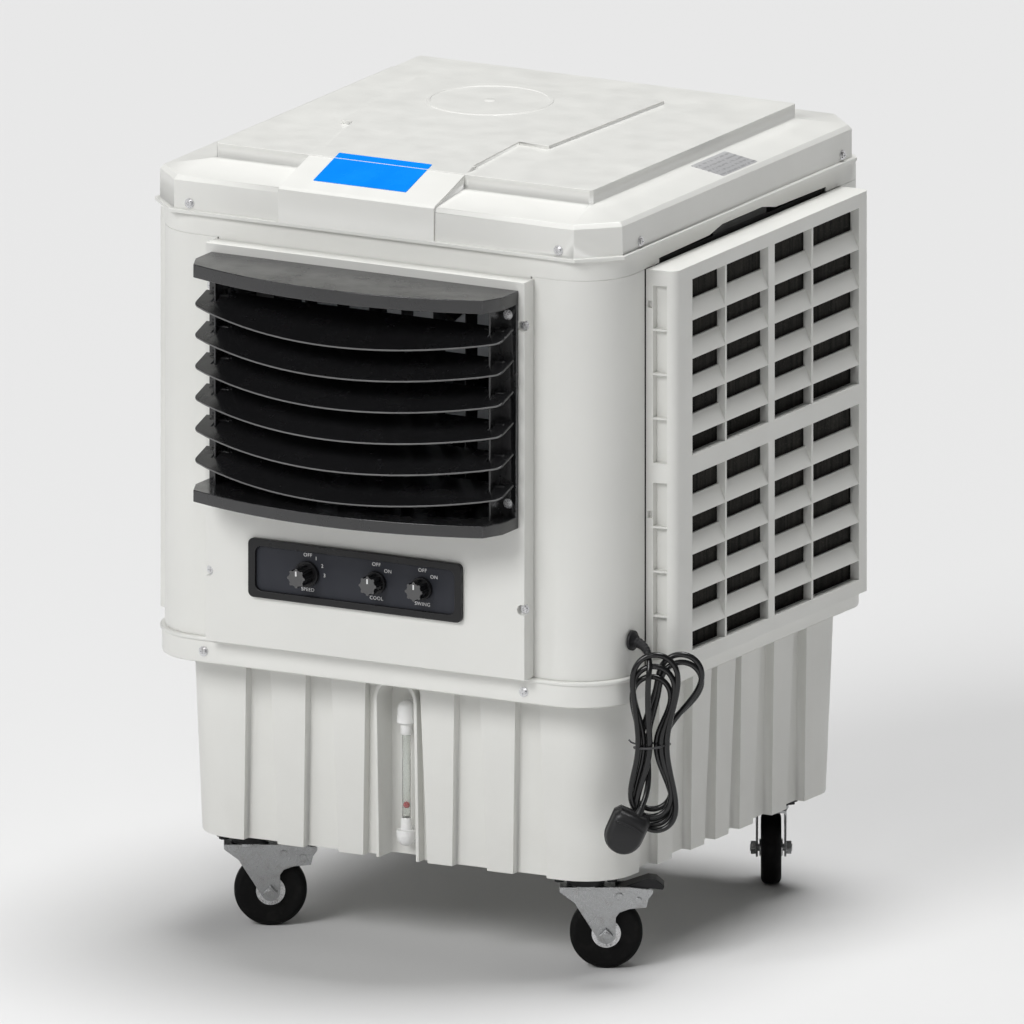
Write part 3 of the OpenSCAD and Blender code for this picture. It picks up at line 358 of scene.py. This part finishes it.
WHITE = (0.765, 0.765, 0.735)
LOOKS = {
    "white": moulded("white_shell", WHITE, 0.40, 0.018, wear_and_highlight=1.05, coat=0.15),
    "tank": moulded("white_tank", scaled(WHITE, 0.99), 0.47, 0.02, 900, 0.00007, dust=0.10),
    "grille": moulded("white_grille", scaled(WHITE, 0.98), 0.5, 0.03, 700, 0.00009),
    # Dark grey painted onto the white fan ring as the shade inside the cabinet
    "inner": moulded("inner_painted_shade_grey", (0.07, 0.07, 0.07), 0.5, 0.06),
    "fitting": moulded("fitting_white", (0.84, 0.84, 0.83), 0.28, 0.02, wear_and_highlight=1.02),
    "louvre": louvre_black(),
    # Lighter grey painted along the vanes' front faces as a highlight line
    "vane_edge_painted_highlight": moulded("vane_edge_painted_highlight", (0.13, 0.13, 0.13), 0.36, 0.12, wear_and_highlight=1.2),
    "rim": moulded("rim_black", (0.011, 0.011, 0.012), 0.33, 0.1, wear_and_highlight=3.0, gloss=0.35),
    "panel": moulded("panel_slate", (0.026, 0.028, 0.036), 0.55, 0.08, 1900, 0.00006, gloss=0.3),
    "knob": moulded("knob_black", (0.009, 0.009, 0.010), 0.33, 0.1, wear_and_highlight=3.0, gloss=0.3),
    "knob_end": moulded("knob_end", (0.085, 0.085, 0.086), 0.42, 0.1, wear_and_highlight=1.8),
    "mark": moulded("dial_print", (0.80, 0.80, 0.80), 0.5, 0.03),
    "zinc": metal("zinc_plate", (0.40, 0.405, 0.41), 0.30),
    "screw": metal("screw_zinc", (0.70, 0.70, 0.71), 0.25),
    "blade": moulded("fan_blade", (0.50, 0.52, 0.54), 0.35, 0.05),
    "motor": moulded("motor_paint", (0.085, 0.095, 0.11), 0.38, 0.1, wear_and_highlight=1.8),
    "hose": moulded("hose_black", (0.012, 0.012, 0.013), 0.5, 0.15, gloss=0.3),
    "red": moulded("float_red", (0.68, 0.012, 0.025), 0.3, 0.05),
    "tyre": tyre_rubber(),
    "cord": cord_rubber(),
    "plug": moulded("plug_black", (0.016, 0.016, 0.017), 0.42, 0.12, 900, 0.0001, wear_and_highlight=2.2, gloss=0.35),
    "tie": moulded("tie_wire", (0.045, 0.045, 0.047), 0.34, 0.1),
    "clear": clear_plastic(),
    "pad": pad_paper(),
    "plate": rating_plate(),
    "badge": badge_blue(),
}


# ---------------------------------------------------------------- pieces


def add_piece(name, mesh, look, body):
    """Puts a mesh into the scene as a piece of the object."""
    piece = bpy.data.objects.new(name, mesh)
    bpy.context.scene.collection.objects.link(piece)
    if not piece.data.materials:
        piece.data.materials.append(LOOKS[look].material)
    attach(piece, body)
    return piece


def mesh_from(name, bm, smooth_below=35):
    """Closes a bmesh into a mesh that is smooth except over its sharp edges."""
    bmesh.ops.recalc_face_normals(bm, faces=bm.faces)
    mesh = bpy.data.meshes.new(name)
    bm.to_mesh(mesh)
    bm.free()
    for polygon in mesh.polygons:
        polygon.use_smooth = True
    mesh.set_sharp_from_angle(angle=math.radians(smooth_below))
    return mesh


def body_of(node):
    return next(b for b, nodes in frame["record"]["behaviour"]["bodies"].items() if node in nodes)


def rounded_copy(node, radius, sharp=25, segments=2, flat=0.7, before=None):
    """A bmesh of a CAD node with its flat faces joined up and its outer edges rounded."""
    bm = bmesh.new()
    bm.from_mesh(frame["nodes"][node].data)
    bmesh.ops.remove_doubles(bm, verts=bm.verts, dist=2e-6)
    bmesh.ops.dissolve_limit(bm, angle_limit=math.radians(flat), verts=bm.verts, edges=bm.edges)
    if before:
        before(bm)
    edges = [e for e in bm.edges if e.is_manifold and e.is_convex
             and e.calc_face_angle(0) > math.radians(sharp)]
    wear_and_highlight = bm.faces.layers.float.new("edge")
    made = bmesh.ops.bevel(bm, geom=edges, offset=radius, segments=segments, profile=0.5,
                           affect="EDGES", clamp_overlap=False, miter_outer="ARC")
    for face in made["faces"]:
        face[wear_and_highlight] = 1.0
    return bm


def round_off(node, look, radius=0.0012, sharp=25, segments=2, paint=None, flat=0.7, before=None):
    """Replaces a CAD node with its rounded copy; paint picks another look for some faces."""
    bm = rounded_copy(node, radius, sharp, segments, flat, before)
    if paint:
        for face in bm.faces:
            face.material_index = 1 if paint[1](face) else 0
    mesh = mesh_from(node + "_form", bm, 50)
    mesh.materials.append(LOOKS[look].material)
    if paint:
        mesh.materials.append(LOOKS[paint[0]].material)
    piece = add_piece(node + "_form", mesh, look, body_of(node))
    normals = piece.modifiers.new("normals", "WEIGHTED_NORMAL")
    normals.keep_sharp = True
    normals.weight = 100
    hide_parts(node)
    return piece


def repaint(node, look):
    """Keeps a CAD node's own mesh and gives it a look."""
    node_object = frame["nodes"][node]
    node_object.data.materials.clear()
    node_object.data.materials.append(LOOKS[look].material)


def turned(profile, origin, axis, steps=48):
    """A bmesh of (radius, height) points turned about an axis through origin; metres."""
    bm = bmesh.new()
    turn = Vector(axis).to_track_quat("Z", "Y").to_matrix().to_4x4()
    rings = []
    for radius, height in profile:
        if radius < 1e-7:
            rings.append([bm.verts.new((0, 0, height))])
            continue
        rings.append([bm.verts.new((radius * math.cos(2 * math.pi * i / steps),
                                    radius * math.sin(2 * math.pi * i / steps), height))
                      for i in range(steps)])
    for low, high in zip(rings, rings[1:]):
        for i in range(steps):
            j = (i + 1) % steps
            corners = [low[i % len(low)], low[j % len(low)], high[j % len(high)], high[i % len(high)]]
            corners = list(dict.fromkeys(corners))
            if len(corners) > 2:
                bm.faces.new(corners)
    bmesh.ops.transform(bm, matrix=Matrix.Translation(origin) @ turn, verts=bm.verts)
    return bm


def swept(path, radius, sides=16, close=True):
    """A bmesh tube along points; radius is one number, or a function of the share along it."""
    bm = bmesh.new()
    count = len(path)
    across = None
    rings = []
    for i, point in enumerate(path):
        ahead = (path[min(i + 1, count - 1)] - path[max(i - 1, 0)]).normalized()
        if across is None:
            across = ahead.orthogonal().normalized()
        across = (across - ahead * across.dot(ahead)).normalized()
        over = ahead.cross(across)
        size = radius(i / (count - 1)) if callable(radius) else radius
        rings.append([bm.verts.new(point + size * (across * math.cos(2 * math.pi * k / sides)
                                                   + over * math.sin(2 * math.pi * k / sides)))
                      for k in range(sides)])
    for low, high in zip(rings, rings[1:]):
        for k in range(sides):
            bm.faces.new([low[k], low[(k + 1) % sides], high[(k + 1) % sides], high[k]])
    if close:
        bm.faces.new(rings[0][::-1])
        bm.faces.new(rings[-1])
    return bm


def pushed_out(outline, depth, place):
    """A bmesh of a flat outline given depth; place turns (across, up, out) into a point."""
    bm = bmesh.new()
    near = [bm.verts.new(place(x, y, 0)) for x, y in outline]
    far = [bm.verts.new(place(x, y, depth)) for x, y in outline]
    bm.faces.new(near[::-1])
    bm.faces.new(far)
    for i in range(len(outline)):
        j = (i + 1) % len(outline)
        bm.faces.new([near[i], near[j], far[j], far[i]])
    return bm


def rounded_outline(width, height, radius, steps=6):
    """A centred rectangle with round corners."""
    points = []
    for corner, (sx, sy) in enumerate([(1, 1), (-1, 1), (-1, -1), (1, -1)]):
        for k in range(steps + 1):
            angle = math.pi / 2 * (corner + k / steps)
            points.append((sx * (width / 2 - radius) + radius * math.cos(angle),
                           sy * (height / 2 - radius) + radius * math.sin(angle)))
    return points


# ---------------------------------------------------------------- mains cord

CORD_R = 0.004
# The hank's middle in the cabinet's millimetres, and the direction of its width
HANK_X = 404
HANK_Y = -304
HANK_TURN = math.radians(28.65)
# Out of the gland and down to the top of the hank, in the cabinet's millimetres
LEAD_ROUTE = [(352, -302, 482), (361, -302, 482), (370, -302, 481.8), (378, -303, 480),
              (386, -305.5, 475.5), (392, -309.5, 469), (397, -314.5, 461), (399.5, -319.5, 453),
              (400, -324, 444)]
TIE_Z = 341
# Each turn of the hank: waist places left and right, radius, foot and middle of the lower loop,
# radius, crown and middle of the upper loop, and the turn's depth
TURNS = [(-11, 11, 28, 217, -3, 32, 471, -4, -9),
         (-27, 3, 29, 236, -10, 30, 454, -6, -8),
         (-19, -4, 28, 223, -7, 28, 438, -9, -1.5),
         (-24, 6, 29, 229, -9, 31, 468, 31, 6),
         (-24, -1, 28, 243, -8, 30, 457, 32, 8)]
LAST_LANE = (-15, 7)


def hank_point(across, depth, z):
    """A point of the hank from its width and depth; the depth counts away from the front."""
    c, s = math.cos(HANK_TURN), math.sin(HANK_TURN)
    return cab(HANK_X + across * c - depth * s, HANK_Y + across * s + depth * c, z)


def half_turn(start, stop, depth, next_depth, middle, radius, end_z):
    """From one place at the tie to the other, round an arc at the hank's end."""
    up = 1 if end_z > TIE_Z else -1
    arc_z = end_z - up * radius
    side = 1 if start > stop else -1
    points = []
    run, arc = 6, 8
    for i in range(run):
        ease = (i / run) ** 2 * (3 - 2 * i / run)
        points.append((start * (1 - ease) + (middle + side * radius) * ease, depth,
                       TIE_Z + (arc_z - TIE_Z) * i / run))
    for i in range(arc + 1):
        angle = math.pi * i / arc
        points.append((middle + side * radius * math.cos(angle),
                       depth + (next_depth - depth) * i / arc, arc_z + up * radius * math.sin(angle)))
    for i in range(1, run):
        ease = (i / run) ** 2 * (3 - 2 * i / run)
        points.append(((middle - side * radius) * (1 - ease) + stop * ease, next_depth,
                       arc_z + (TIE_Z - arc_z) * i / run))
    return points


def behind_plug(point):
    """The strands below the tie lean back, so that the plug lies in front of them."""
    across, depth, z = point
    share = min(max((TIE_Z - z) / 85, 0), 1)
    return across, depth + 10 * share * share * (3 - 2 * share), z


def hank_points():
    points = [(-14.5, -14, 418), (-14, -11, 380)]
    for k, (left, right, foot_r, foot, foot_mid, top_r, top, top_mid, depth) in enumerate(TURNS):
        next_left, next_depth = ((TURNS[k + 1][0], TURNS[k + 1][8]) if k + 1 < len(TURNS)
                                 else LAST_LANE)
        points += half_turn(left, right, depth, depth, foot_mid, foot_r, foot)
        points += half_turn(right, next_left, depth, next_depth, top_mid, top_r, top)
    points = [behind_plug(p) for p in points]
    points += [(-14.5, 7, 322), (-13, 5.5, 304), (-13.2, 2, 287), (-15.5, -3, 271)]
    points += [plug_local(*p) for p in PLUG_EXIT[::-1]]
    return [hank_point(*p) for p in points]


PLUG_AT = (-44, -16, 223)
PLUG_LEAN = math.radians(24)
# The cord's way out of the plug: across and up on its back, and out towards the front
PLUG_EXIT = [(6.6, 18, -4.5), (6.8, 24, -4.9), (7, 30, -5.8), (7.1, 36, -7.4)]


def plug_local(across, up, out):
    c, s = math.cos(PLUG_LEAN), math.sin(PLUG_LEAN)
    return PLUG_AT[0] + across * c + up * s, PLUG_AT[1] - out, PLUG_AT[2] - across * s + up * c


def evenly(points, step):
    """The same line with its points evenly spaced."""
    line = np.array(points)
    along = np.concatenate([[0], np.cumsum(np.linalg.norm(np.diff(line, axis=0), axis=1))])
    at = np.linspace(0, along[-1], int(along[-1] / step) + 1)
    return np.stack([np.interp(at, along, line[:, k]) for k in range(3)], axis=1)


def relaxed(points, step=0.002, rounds=60):
    """The line as a stiff cord takes it: its kinks spread out, its ends kept."""
    line = evenly(points, step)
    for _ in range(rounds):
        line[2:-2] = line[2:-2] * 0.5 + (line[1:-3] + line[3:-1]) * 0.25
    return evenly(line, step)


def add_cord():
    line = relaxed([cab(*p) for p in LEAD_ROUTE] + hank_points())
    curve = bpy.data.curves.new("mains_cord", "CURVE")
    curve.dimensions = "3D"
    spline = curve.splines.new("POLY")
    kept = line[::2] if len(line) % 2 else np.vstack([line[::2], line[-1]])
    spline.points.add(len(kept) - 1)
    spline.points.foreach_set("co", np.hstack([kept, np.ones((len(kept), 1))]).ravel())
    curve.bevel_depth = CORD_R
    curve.bevel_resolution = 5
    curve.use_fill_caps = True
    cord = bpy.data.objects.new("mains_cord", curve)
    bpy.context.scene.collection.objects.link(cord)
    curve.materials.append(LOOKS["cord"].material)
    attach(cord, "cabinet")
    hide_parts("cord_lead", "cord_hank")
    extras = [add_strain_relief(line), add_tie(), add_plug()]


def add_strain_relief(line):
    """Ribbed taper that bends with the cord where it leaves the gland."""
    start, stop = 8, 24
    path = [Vector(p) for p in evenly(line[start:stop], 0.0008)]

    def radius(share):
        ribbed = 0.00035 if math.sin(share * math.pi * 12) > 0 and share < 0.85 else 0.0
        return CORD_R + 0.0029 * (1 - share) ** 0.8 + 0.0004 + ribbed

    mesh = mesh_from("strain_relief", swept(path, radius, 24))
    return add_piece("strain_relief", mesh, "hose", "cabinet")


def add_tie():
    """Wire tie: a band round the waist with a twisted tail."""
    path = []
    for i in range(49):
        angle = 2 * math.pi * i / 48
        squared = max(abs(math.cos(angle)), abs(math.sin(angle))) ** 0.5
        path.append(hank_point(-8.5 + 24.5 * math.cos(angle) * squared,
                               15.5 * math.sin(angle) * squared - 1,
                               TIE_Z - 2 + 2.5 * math.cos(angle)))
    bm = swept(path, 0.0016, 10)
    tail = [hank_point(-31 - 2.6 * k + 1.1 * math.cos(k * 1.7), -6 + 1.1 * math.sin(k * 1.7),
                       TIE_Z + 1 + 1.6 * k) for k in range(5)]
    other = swept(tail, 0.0012, 8)
    joined = bpy.data.meshes.new("tail")
    other.to_mesh(joined)
    other.free()
    bm.from_mesh(joined)
    bpy.data.meshes.remove(joined)
    return add_piece("cord_tie", mesh_from("cord_tie", bm), "tie", "cabinet")


def plug_place(across, up, out):
    """A point of the plug: across and up on its back, out towards the front; millimetres."""
    return hank_point(*plug_local(across, up, out))


def add_plug():
    """Three-pin plug: domed back with a grip ridge, a flat base flange and its pins behind."""
    flange = [(-27, 20), (-20, 28.5), (20, 28.5), (27, 20)]
    flange += [(27 * math.cos(a), -8 + 27 * math.sin(a)) for a in
               [-math.pi * k / 14 for k in range(15)]]
    bm = bmesh.new()
    layers = [(-13, 0.97), (-11.5, 1.0), (-4, 1.0), (-3, 0.965), (6, 0.94), (12, 0.88), (15.5, 0.77),
              (17, 0.62)]
    rings = [[bm.verts.new(plug_place(x * share, y * share, out)) for x, y in flange]
             for out, share in layers]
    for low, high in zip(rings, rings[1:]):
        for i in range(len(flange)):
            j = (i + 1) % len(flange)
            bm.faces.new([low[i], low[j], high[j], high[i]])
    bm.faces.new(rings[0])
    bm.faces.new(rings[-1])
    bmesh.ops.recalc_face_normals(bm, faces=bm.faces)
    plug = add_piece("mains_plug", mesh_from("mains_plug", bm, 42), "plug", "cabinet")
    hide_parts("plug")
    ridge = swept([Vector(plug_place(x, 12 - 0.006 * x * x, 17 - 0.35 * max(abs(x) - 16, 0)))
                   for x in range(-21, 22, 3)],
                  lambda s: 0.0011 + 0.0012 * math.sin(math.pi * s), 10)
    grip = add_piece("plug_ridge", mesh_from("plug_ridge", ridge), "plug", "cabinet")
    grip.parent = plug
    collar = swept([Vector(plug_place(*p)) for p in PLUG_EXIT], lambda s: 0.0070 - 0.0022 * s, 18)
    sleeve = add_piece("plug_sleeve", mesh_from("plug_sleeve", collar), "plug", "cabinet")
    sleeve.parent = plug
    for name, wide, low, high, far in (("pin_left", 6.4, -12, -8, 18), ("pin_right", 6.4, -12, -8, 18),
                                       ("pin_top", 4, 6, 14, 23)):
        middle = {"pin_left": -11, "pin_right": 11, "pin_top": 0}[name]
        outline = [(middle - wide / 2, low), (middle + wide / 2, low), (middle + wide / 2, high),
                   (middle - wide / 2, high)]
        pin = pushed_out(outline, far, lambda x, y, d: plug_place(x, y, -13 + 0.5 - d))
        edges = list(pin.edges)
        bmesh.ops.bevel(pin, geom=edges, offset=0.0006, segments=2, affect="EDGES", profile=0.5)
        made = add_piece("plug_" + name, mesh_from(name, pin), "screw", "cabinet")
        made.parent = plug
    return plug


# ---------------------------------------------------------------- shell, louvres and panel


def add_shell():
    round_off("tank", "tank", 0.0010, 20)
    round_off("base_frame", "white", 0.0022, 20)
    round_off("corner_posts", "white", 0.0008, 40)
    round_off("top_rails", "white", 0.0010, 30)
    round_off("front_cover", "white", 0.0010, 30)
    round_off("lid", "white", 0.0007, 18, flat=0.05)
    for side in ("right", "left", "rear"):
        round_off("cassette_" + side, "grille", 0.0004, 24)
    round_off("cable_gland", "hose", 0.0008, 30)


def round_corners(bm):
    """Rounds a vane's two front corners, seen from above, before its edges are rounded."""
    front = min(v.co.y for v in bm.verts)
    wide = max(v.co.x for v in bm.verts)
    for side in (-1, 1):
        near = [v for v in bm.verts if side * v.co.x > wide - 3 * MM and v.co.y < front + BOW]
        near.sort(key=lambda v: v.co.z)
        merged = []
        for pair in (near[:2], near[2:]):
            outer = max(pair, key=lambda v: abs(v.co.x))
            place = outer.co.copy()
            bmesh.ops.pointmerge(bm, verts=pair, merge_co=place)
            merged.append(place)
        edge = next(e for e in bm.edges
                    if all(any((v.co - m).length < 1e-6 for m in merged) for v in e.verts))
        bmesh.ops.bevel(bm, geom=[edge], offset=9 * MM, segments=5, profile=0.5, affect="EDGES",
                        clamp_overlap=False)


BOW = 0.062


def vane_highlight_face(face):
    """The narrow bowed face along a vane's front, which is painted lighter grey as a highlight."""
    return face.normal.y < -0.45 and abs(face.normal.z) < 0.75 and face.calc_center_median().y < -0.386


def add_louvres():
    round_off("louvre_frame", "louvre", 0.0011, 24)
    for i in range(6):
        # The vanes' front faces get the lighter grey as a painted highlight line
        round_off(f"vane_{i + 1}", "louvre", 0.0012, 30, 3, paint=("vane_edge_painted_highlight", vane_highlight_face),
                  before=round_corners)
    for i in range(7):
        repaint(f"swing_vane_{i + 1}", "rim")
    for node in ("swing_link", "vane_link"):
        repaint(node, "rim")


def add_text(name, words, place, size, look="mark"):
    """Small flat lettering that faces the front."""
    data = bpy.data.curves.new(name, "FONT")
    data.body = words
    data.size = size
    data.align_x = "CENTER"
    data.align_y = "CENTER"
    data.extrude = 0.00008
    data.space_character = 1.1
    made = bpy.data.objects.new(name + "_curve", data)
    bpy.context.scene.collection.objects.link(made)
    bpy.context.view_layer.update()
    mesh = bpy.data.meshes.new_from_object(made)
    bpy.data.objects.remove(made)
    mesh.name = name
    mesh.transform(Matrix.Translation(place) @ Matrix.Rotation(math.pi / 2, 4, "X"))
    mesh.materials.clear()
    mesh.materials.append(LOOKS[look].material)
    return add_piece(name, mesh, look, "cabinet")


def joint_of(name):
    return next(j for j in frame["record"]["behaviour"]["joints"] if j["name"] == name)


def add_panel():
    low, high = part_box("control_bezel")
    face_y = low.y + 0.005

    def sunk(face):
        return face.normal.y < -0.9 and face.calc_center_median().y > low.y + 0.003

    round_off("control_bezel", "rim", 0.0010, 30, paint=("panel", sunk))
    print_y = face_y - 0.00012
    marks = {"speed": (0.026, [(0, "OFF"), (30, "1"), (60, "2"), (90, "3")], "SPEED"),
             "cool": (0.025, [(0, "OFF"), (46, "ON")], "COOL"),
             "swing": (0.025, [(0, "OFF"), (46, "ON")], "SWING")}
    for knob, (reach, stops, title) in marks.items():
        at = Vector(joint_of(f"knob_{knob}_turn")["pos_m"])
        for angle, word in stops:
            turn = math.radians(angle)
            place = Vector((at.x + reach * math.sin(turn), print_y, at.z + reach * math.cos(turn)))
            add_text(f"mark_{knob}_{word.lower()}", word, place, 0.0072)
        add_text(f"mark_{knob}_title", title, Vector((at.x, print_y, at.z - 0.0225)), 0.0070)
        add_knob(f"knob_{knob}")


def add_knob(node):
    """A knob with a round skirt and a fluted grip whose end face is lighter."""
    low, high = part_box(node)
    at = Vector(joint_of(node + "_turn")["pos_m"])

    def end_face(face):
        return face.normal.y < -0.9 and face.calc_center_median().y < low.y + 0.0015

    round_off(node, "knob", 0.0007, 25, paint=("knob_end", end_face))
    pointer = pushed_out(rounded_outline(0.0022, 0.007, 0.0008), 0.0008,
                         lambda x, y, d: Vector((at.x + x, low.y + 0.0001 - d, at.z + 0.0066 + y)))
    add_piece(node + "_pointer", mesh_from(node + "_pointer", pointer), "mark", node)


# The badge's middle, across the cabinet, in millimetres
BADGE_X = -36


def add_badge():
    """Plain blue badge on the lid's nose."""
    foot, top = lid_height(BADGE_X, -353.5)[0], lid_height(BADGE_X, -276)[0]
    slope = (top - foot).normalized()
    out = Vector((1, 0, 0)).cross(slope)

    def badge_place(x, y, d):
        return (foot + top) / 2 + Vector((1, 0, 0)) * x + slope * y + out * (d - 0.0004)

    badge = pushed_out(rounded_outline(0.145, 0.0785, 0.0012), 0.0011, badge_place)
    add_piece("badge", mesh_from("badge", badge), "badge", "cabinet")


def lid_height(x, y):
    """Height of the lid's outer face above a place of the cabinet, found by a ray from above."""
    surface = BVHTree.FromPolygons([v.co for v in frame["nodes"]["lid"].data.vertices],
                                   [p.vertices for p in frame["nodes"]["lid"].data.polygons])
    place, normal, _, _ = surface.ray_cast(cab(x, y, 1300), Vector((0, 0, -1)))
    return place, normal


def add_plate():
    place, normal = lid_height(327, 25)
    along = Vector((0, 1, 0))
    across = along.cross(normal).normalized()

    def plate_place(x, y, d):
        return place + across * x + along * y + normal * (d - 0.0002)

    plate = pushed_out(rounded_outline(0.052, 0.098, 0.002), 0.0006, plate_place)
    add_piece("rating_plate", mesh_from("rating_plate", plate), "plate", "cabinet")


def add_emblem():
    """Faint moulded ring and dot on the lid's middle panel."""
    for name, inner, outer in (("lid_ring", 0.0815, 0.0885), ("lid_dot", 0.0, 0.009)):
        place, normal = lid_height(-73, 88)
        profile = [(outer, -0.0003), (outer - 0.0012, 0.0009), (inner + 0.0012, 0.0009),
                   (inner, -0.0003)]
        ring = turned(profile if inner else [(outer, -0.0003), (outer - 0.002, 0.0009), (0, 0.0011)],
                      place, (0, 0, 1), 96)
        add_piece(name, mesh_from(name, ring), "white", "cabinet")


def add_wheels():
    for i in range(1, 5):
        joint = joint_of(f"wheel_{i}_spin")
        centre, axis = Vector(joint["pos_m"]), Vector(joint["axis"])

        def hub(face, centre=centre, axis=axis):
            offset = face.calc_center_median() - centre
            return (offset - axis * offset.dot(axis)).length < 0.0192

        round_off(f"wheel_{i}", "tyre", 0.0004, 40, 1, paint=("screw", hub))
        round_off(f"fork_{i}", "zinc", 0.0006, 30)
    for i in (1, 2):
        round_off(f"brake_pedal_{i}", "hose", 0.0010, 30)


def islands(node):
    """Boxes of the separate solids of a CAD node, as pairs of corners."""
    bm = bmesh.new()
    bm.from_mesh(frame["nodes"][node].data)
    bmesh.ops.remove_doubles(bm, verts=bm.verts, dist=2e-6)
    seen, found = set(), []
    for start in bm.verts:
        if start in seen:
            continue
        stack, group = [start], []
        seen.add(start)
        while stack:
            v = stack.pop()
            group.append(v.co.copy())
            for e in v.link_edges:
                w = e.other_vert(v)
                if w not in seen:
                    seen.add(w)
                    stack.append(w)
        found.append((Vector([min(c[k] for c in group) for k in range(3)]),
                      Vector([max(c[k] for c in group) for k in range(3)])))
    bm.free()
    return found


FLUTE = 0.0075
FLUTE_DEPTH = 0.0035
# The paper swells out to the cassette's walls
PAD_REACH = 0.022


def add_pads():
    """Pads of crimped paper: upright flutes over both faces of each pad."""
    bm = bmesh.new()
    for low, high in islands("cooling_pads"):
        size = high - low
        thick = 0 if size.x < size.y else 1
        wide = 1 - thick
        low[wide] -= PAD_REACH
        high[wide] += PAD_REACH
        size = high - low
        steps = int(size[wide] / FLUTE) * 2
        outline = []
        for edge, sign in ((low[thick], 1), (high[thick], -1)):
            row = [(low[wide] + size[wide] * k / steps, edge + sign * FLUTE_DEPTH * (k % 2))
                   for k in range(steps + 1)]
            outline += row if sign > 0 else row[::-1]
        rings = []
        for z in (low.z, high.z):
            ring = []
            for across, deep in outline:
                place = [0, 0, z]
                place[wide], place[thick] = across, deep
                ring.append(bm.verts.new(place))
            rings.append(ring)
        count = len(outline)
        for i in range(count):
            j = (i + 1) % count
            bm.faces.new([rings[0][i], rings[0][j], rings[1][j], rings[1][i]])
        bm.faces.new(rings[0])
        bm.faces.new(rings[1])
    piece = add_piece("pad_paper", mesh_from("pad_paper", bm, 20), "pad", "cabinet")
    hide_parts("cooling_pads")


def add_gauge():
    """Level gauge: domed top elbow, round bottom elbow and a red ball in the clear tube."""
    low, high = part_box("level_tube")
    x, y = (low.x + high.x) / 2, (low.y + high.y) / 2
    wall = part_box("level_fittings")[1].y
    fit_low, fit_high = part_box("level_fittings")
    top, foot = fit_high.z - 0.012, fit_low.z + 0.012
    bm = turned([(0, 0.0125), (0.004, 0.0118), (0.008, 0.0095), (0.011, 0.006), (0.0125, 0.001),
                 (0.0127, -0.013), (0.0133, -0.0145), (0.0133, -0.018), (0.0118, -0.0195),
                 (0.0082, -0.0205), (0.0082, -0.034), (0.0070, -0.0355), (0.0063, -0.036)],
                Vector((x, y, top)), (0, 0, 1), 40)
    bottom = turned([(0, -0.0125), (0.005, -0.0117), (0.009, -0.009), (0.012, -0.0045),
                     (0.0135, 0.002), (0.0137, 0.0085), (0.0130, 0.010), (0.0105, 0.0098),
                     (0.0078, 0.0105), (0.0074, 0.026), (0.0066, 0.0275), (0.0062, 0.0275)],
                    Vector((x, y, foot)), (0, 0, 1), 40)
    reach = wall - y - 0.004
    stubs = [turned([(0.0, 0), (0.0095, 0), (0.0095, 0.018), (0.0120, 0.019), (0.0120, reach),
                     (0, reach)], Vector((x, y, z)), (0, 1, 0), 32) for z in (top, foot)]
    for extra in (bottom, *stubs):
        joined = bpy.data.meshes.new("part")
        extra.to_mesh(joined)
        extra.free()
        bm.from_mesh(joined)
        bpy.data.meshes.remove(joined)
    piece = add_piece("gauge_elbows", mesh_from("gauge_elbows", bm, 40), "fitting", "cabinet")
    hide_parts("level_fittings")
    float_low, float_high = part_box("level_float")
    middle = (float_low + float_high) / 2
    ball = turned([(0, -0.0046), (0.0026, -0.0040), (0.0042, -0.0020), (0.0046, 0), (0.0042, 0.0020),
                   (0.0026, 0.0040), (0, 0.0046)], middle, (0, 0, 1), 32)
    piece = add_piece("gauge_ball", mesh_from("gauge_ball", ball, 60), "red", "level_float")
    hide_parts("level_float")


def add_plain():
    # The fan ring gets dark grey as painted shade of the cabinet's interior
    for node, look in (("case_screws", "screw"), ("fan_ring", "inner"), ("fan", "blade"),
                       ("fan_motor", "motor"), ("motor_bracket", "zinc"), ("pump", "hose"),
                       ("water_distributor", "hose"), ("swing_motor", "zinc"),
                       ("rotary_switches", "hose"), ("level_tube", "clear"),
                       ("float_valve", "fitting"), ("float_arm", "fitting"), ("drain_plug", "hose"),
                       ("caster_plates", "hose")):
        repaint(node, look)


add_camera()
add_cord()
add_studio()
add_shell()
add_louvres()
add_panel()
add_badge()
add_plate()
add_emblem()
add_pads()
add_gauge()
add_wheels()
add_plain()
